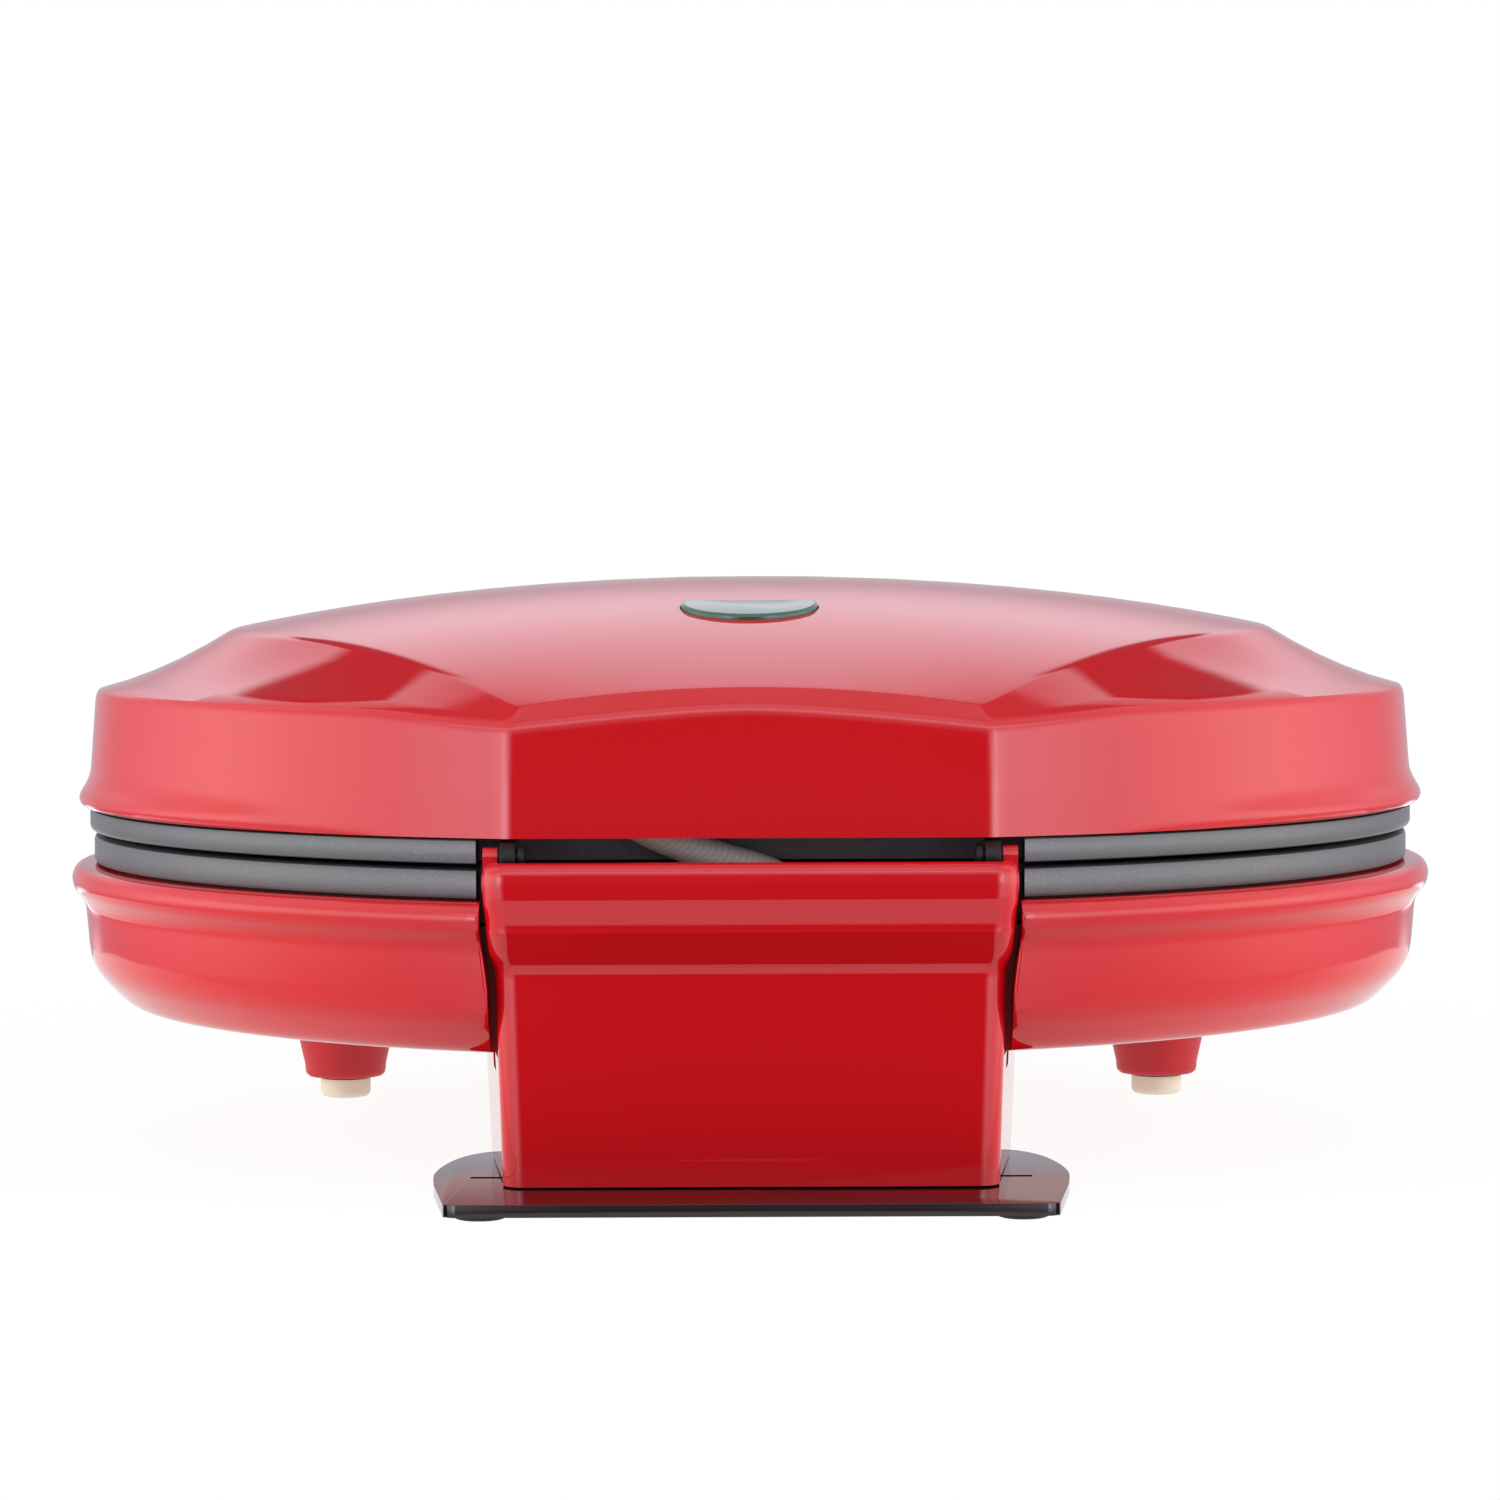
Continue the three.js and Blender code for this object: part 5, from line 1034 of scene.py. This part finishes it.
strap_outline = [
    (hinge_y + eye_radius * cos(radians(a)), hinge_z + eye_radius * sin(radians(a)))
    for a in range(-90, 91, 10)]
strap_outline += [
    (103.4, 56.2), (102.6, 56.9), (flange_rear, 58.0), (flange_rear, flange_top),
    (flange_front, flange_top), (flange_front, 55.0), (96.9, 54.0), (97.6, 53.4), (102.4, 51.6)]
bracket = drawn("bracket", [(strap_inner, y, z) for y, z in strap_outline], (strap_thick, 0, 0))
joined(bracket, block("flange", (flange_inner, flange_front, flange_bottom),
                      (strap_inner + 1, flange_rear, flange_top)))
cut(bracket, spun("eye_hole", [(0, 34), (eye_hole, 34), (eye_hole, 40), (0, 40)], 32,
                  0, hinge_y, hinge_z, (1, 0, 0)))
cut(bracket, spun("screw_hole", [(0, 60), (flange_hole, 60), (flange_hole, 70), (0, 70)], 32,
                  flange_hole_x, flange_hole_y))
with_bevel(bracket, 0.35, 3, 50)
shaded(bracket)
pin_profile = [(0, 34.0), (1.3, 34.0), (1.7, 34.2), (1.8, 34.6), (1.8, 35.1), (1.7, 35.2),
               (1.0, 35.2), (1.0, 40.1), (0.7, 40.4), (0, 40.4)]
pin = shaded(spun("pin", pin_profile, 40, 0, hinge_y, hinge_z, (1, 0, 0)))
for side, flip in (("left", 1), ("right", -1)):
    strap = copied(bracket, f"bracket_{side}", (flip, 1, 1))
    dress(strap, "lid", black_steel, "steel", f"hinge_bracket_{side}")
    rod = copied(pin, f"hinge_rod_{side}", (flip, 1, 1))
    dress(rod, "base", black_steel, "steel", f"hinge_pin_{side}")
bpy.data.objects.remove(bracket)
bpy.data.objects.remove(pin)


# Wiring sleeve: the leads to the upper element and the lamp, in one sleeve of braided glass
# fibre that crosses the hinge inside the stand. Its ends reach into the base and the lid, but the
# sleeve is given to neither body.
sleeve_y, sleeve_radius = 99.97, 2.6
fibre_sleeve, shader, where = new_finish("glass_fibre_sleeve", Specular_IOR_Level=0.35)
braid = {"wave_type": "BANDS", "bands_direction": "DIAGONAL", "wave_profile": "SIN"}
weave = where.node("ShaderNodeTexWave", braid, {"Vector": where, "Scale": 520, "Distortion": 0.6})
weave.mixed((0.33, 0.305, 0.295, 1), (0.40, 0.37, 0.36, 1)).into(shader.inputs["Base Color"])
(0.62 + 0.2 * grain(where, 900)).into(shader.inputs["Roughness"])
bumped(shader, weave, 0.10, 0.05)


def piped(name, points, radius):
    """A round rod along a line of points, with closed ends."""
    begin(name, points[0])
    extrude_along(points)
    bpy.ops.object.mode_set(mode="OBJECT")
    bpy.ops.object.convert(target="CURVE")
    line = bpy.context.object.data
    line.bevel_depth, line.bevel_resolution, line.use_fill_caps = radius * mm, 6, True
    bpy.ops.object.convert(target="MESH")
    bpy.ops.object.mode_set(mode="EDIT")
    return settle(bpy.context.object)


sleeve_line = through_points([(-17.1, 36.8), (-13.6, 43.4), (-4.0, 50.2), (7.0, 54.0),
                              (16.2, 57.9), (22.6, 62.2)], 6)
sleeve = piped("lead_sleeve", [place(p.x, sleeve_y, p.y) for p in sleeve_line], sleeve_radius)
shaded(sleeve, 50)
sleeve.data.materials.clear()
sleeve.data.materials.append(fibre_sleeve)
place(-17.1, sleeve_y, 36.8)
place(22.8, sleeve_y, 62.2)
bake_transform(sleeve)
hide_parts("wiring_sleeve")


# Handles: two grips of black moulded plastic, each screwed to its shell from inside. The lower
# one sits on a saddle that follows the bowl; the upper one is cut out for the latch.
grip_half, grip_nose_half, grip_cheek = 33, 25, 9
upper_grip_rear, upper_grip_front, upper_grip_low, upper_grip_high = -105.468, -132.468, 58.2, 70.7
lower_grip_rear, lower_grip_front, lower_grip_low, lower_grip_high = -102.0, -130.098, 40.0, 48.4
recess_half_width, recess_rear = 8.3, -127.568
pin_y, pin_z, pin_bore = -131.068, 66.5, 1.25
grip_screw_x, grip_screw_bore = 20, 1.35
upper_screw_tip, upper_screw_z, lower_screw_tip, lower_screw_z = -114, 64.45, -116, 36.2
black_moulding = moulded("black_moulding", (0.020, 0.019, 0.020), (0.032, 0.030, 0.031), 60,
                         (0.32, 0.14, 500), (1400, 0.22, 0.05), IOR=1.5)


def with_corners(points, z):
    """A closed outline at a height, each of its corners eased by a radius: [x, y, radius]."""
    line = []
    for k, (x, y, radius) in enumerate(points):
        corner = Vector((x, y, z))
        before, after = (Vector((*points[j % len(points)][:2], z)) - corner
                         for j in (k - 1, k + 1))
        reach = radius / tan(before.angle(after) / 2)
        start, end = corner + before.normalized() * reach, corner + after.normalized() * reach
        handles = start.lerp(corner, 0.55), end.lerp(corner, 0.55)
        line += interpolate_bezier(start, *handles, end, 10) if radius else [corner]
    return [tuple(point) for point in line]


def grip(name, rear, front, low, high):
    """A bar across the appliance, with cheeks that narrow towards its nose."""
    half = [(grip_half, rear, 0), (grip_half, rear - grip_cheek, grip_cheek),
            (grip_nose_half, front, grip_cheek)]
    outline = half + [(-x, y, radius) for x, y, radius in reversed(half)]
    return with_bevel(drawn(name, with_corners(outline, low), (0, 0, high - low)), 2.2, 6, 45)


def bored(piece, radius, half, y, z):
    """Cuts a round hole along X, across the middle."""
    profile = [(0, -half), (radius, -half), (radius, half), (0, half)]
    return cut(piece, spun("bore", profile, 40, 0, y, z, (1, 0, 0)))


def with_screw_holes(piece, tip, height):
    """Cuts the two blind holes for the screws that come through the shell."""
    profile = [(0, tip), (grip_screw_bore, tip), (grip_screw_bore, -100), (0, -100)]
    for side in (1, -1):
        cut(piece, spun("bore", profile, 32, grip_screw_x * side, 0, height, (0, 1, 0)))
    return piece


upper_grip = grip("upper_grip", upper_grip_rear, upper_grip_front, upper_grip_low, upper_grip_high)
cut(upper_grip, block("recess", (-recess_half_width, -140, 50),
                      (recess_half_width, recess_rear, 80)))
bored(upper_grip, pin_bore, 15, pin_y, pin_z)
with_screw_holes(upper_grip, upper_screw_tip, upper_screw_z)
dress(shaded(upper_grip), "lid", black_moulding, "black_moulding", "upper_handle")

lower_grip = grip("lower_grip", lower_grip_rear, lower_grip_front, lower_grip_low, lower_grip_high)
saddle = with_bevel(block("saddle", (-29, -117.4, 32.4), (29, -100, 41.2)), 1.2, 4, 45)
joined(lower_grip, saddle)
# the room for the bowl's wall, and for its lip
for reach, low, high in ((113.5, 30, 41.25), (115.6, 41.2, 50)):
    cut(lower_grip, spun("bowl_room", [(0, low), (reach, low), (reach, high), (0, high)],
                         round_steps))
with_screw_holes(lower_grip, lower_screw_tip, lower_screw_z)
dress(shaded(lower_grip), "base", black_moulding, "black_moulding", "lower_handle")


# Latch: a moulded clip that swings on a steel pin in the upper handle and hooks under the
# lower one. Four ribs across its foot give the thumb a hold.
clip_front, clip_half, clip_eye = -133.968, 8, 2.9
latch_bore = 1.35
rib_count, rib_foot, rib_pitch = 4, 41.3, 1.6
clip = [(clip_front, 39.2), (clip_front, pin_z)]
clip += [(pin_y - clip_eye * cos(radians(a)), pin_z + clip_eye * sin(radians(a)))
         for a in range(12, 181, 12)]
clip += [(-128.6, 64.9), (-129.9, 62.6), (-130.568, 60.0), (-130.568, 40.9), (-130.2, 40.0),
         (-129.4, 39.7), (-125.0, 39.7), (-124.3, 39.3), (-124.168, 38.7), (-124.9, 37.9),
         (-125.6, 37.7), (-132.6, 37.7), (-133.5, 38.1)]
latch = drawn("latch_hook", [(-clip_half, y, z) for y, z in clip], (2 * clip_half, 0, 0))
with_bevel(latch, 0.5, 3, 60)
bored(latch, latch_bore, clip_half + 1, pin_y, pin_z)
rib_profile = [(0, -6.8), (0.5, -6.8), (0.8, -6.2), (0.8, 6.2), (0.5, 6.8), (0, 6.8)]
rib = spun("rib", rib_profile, 24, 0, clip_front, rib_foot, (1, 0, 0))
for k in range(rib_count):
    joined(latch, copied(rib, "rib", move=(0, 0, rib_pitch * k)))
bpy.data.objects.remove(rib)
dress(shaded(latch), "latch", black_moulding, "black_moulding", "latch_clip")
rod_profile = [(0, -14.7), (0.9, -14.7), (1.2, -14.4), (1.2, 14.4), (0.9, 14.7), (0, 14.7)]
latch_rod = spun("latch_rod", rod_profile, 40, 0, pin_y, pin_z, (1, 0, 0))
dress(shaded(latch_rod), "lid", steel, "steel", "latch_pin")


# Cord inlet: a bush of dark rubber snapped into the neck's front wall, with a bore for the
# cord. A groove grips the wall, between a flange outside and a tapered ring inside.
gland_z = 13.05
gland_profile = [
    (3.3, 51.7), (3.6, 51.37), (4.0, 51.37), (4.35, 51.8), (5.2, 56.07), (7.1, 56.07),
    (7.4, 56.3), (7.4, 57.4), (7.1, 57.67), (5.2, 57.67), (5.2, 60.47), (6.8, 60.47),
    (7.1, 60.75), (5.2, 62.07), (3.6, 62.07), (3.3, 61.8), (3.3, 51.7)]
gland = spun("inlet_bush", gland_profile, 64, 0, 0, gland_z, (0, 1, 0))
dress(shaded(gland, 30), "base", dark_rubber, "dark_rubber", "cord_gland")


# Inside pieces: the CAD's own solids, given the look of what each is made of. They are the
# elements, the reflectors, the electric parts and the screws that the shells hide.
def inside_finish(name, low, high, least, **constants):
    """A fine-grained finish, from its two colours and its least roughness."""
    return moulded(name, low, high, 250, (least, 0.15, 900), (1800, 0.15, 0.04), **constants)


bright_aluminium = inside_finish(
    "bright_aluminium", (0.62, 0.63, 0.64), (0.76, 0.77, 0.78), 0.16, Metallic=1.0)
element_steel = inside_finish(
    "element_steel", (0.16, 0.15, 0.14), (0.27, 0.25, 0.23), 0.38, Metallic=0.9)
white_nylon = inside_finish("white_nylon", (0.66, 0.65, 0.61), (0.76, 0.75, 0.71), 0.38)
lamp_glass = inside_finish(
    "lamp_glass", (0.66, 0.30, 0.12), (0.80, 0.42, 0.18), 0.05, Transmission_Weight=0.5)
screws = ("bracket_screw", "upper_handle_screw", "lower_handle_screw", "stand_screw",
          "foot_plate_screw")
dressed = {
    bright_aluminium: ["lower_reflector", "upper_reflector", "thermostat"],
    element_steel: ["lower_heater", "upper_heater"],
    white_nylon: ["terminal_block", "thermal_fuse", "lamp_holder"],
    lamp_glass: ["indicator_lamp"],
    steel: [f"{screw}_{side}" for screw in screws for side in ("left", "right")],
}
for finish, nodes in dressed.items():
    for node in nodes:
        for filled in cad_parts[node].material_slots:
            filled.material = finish
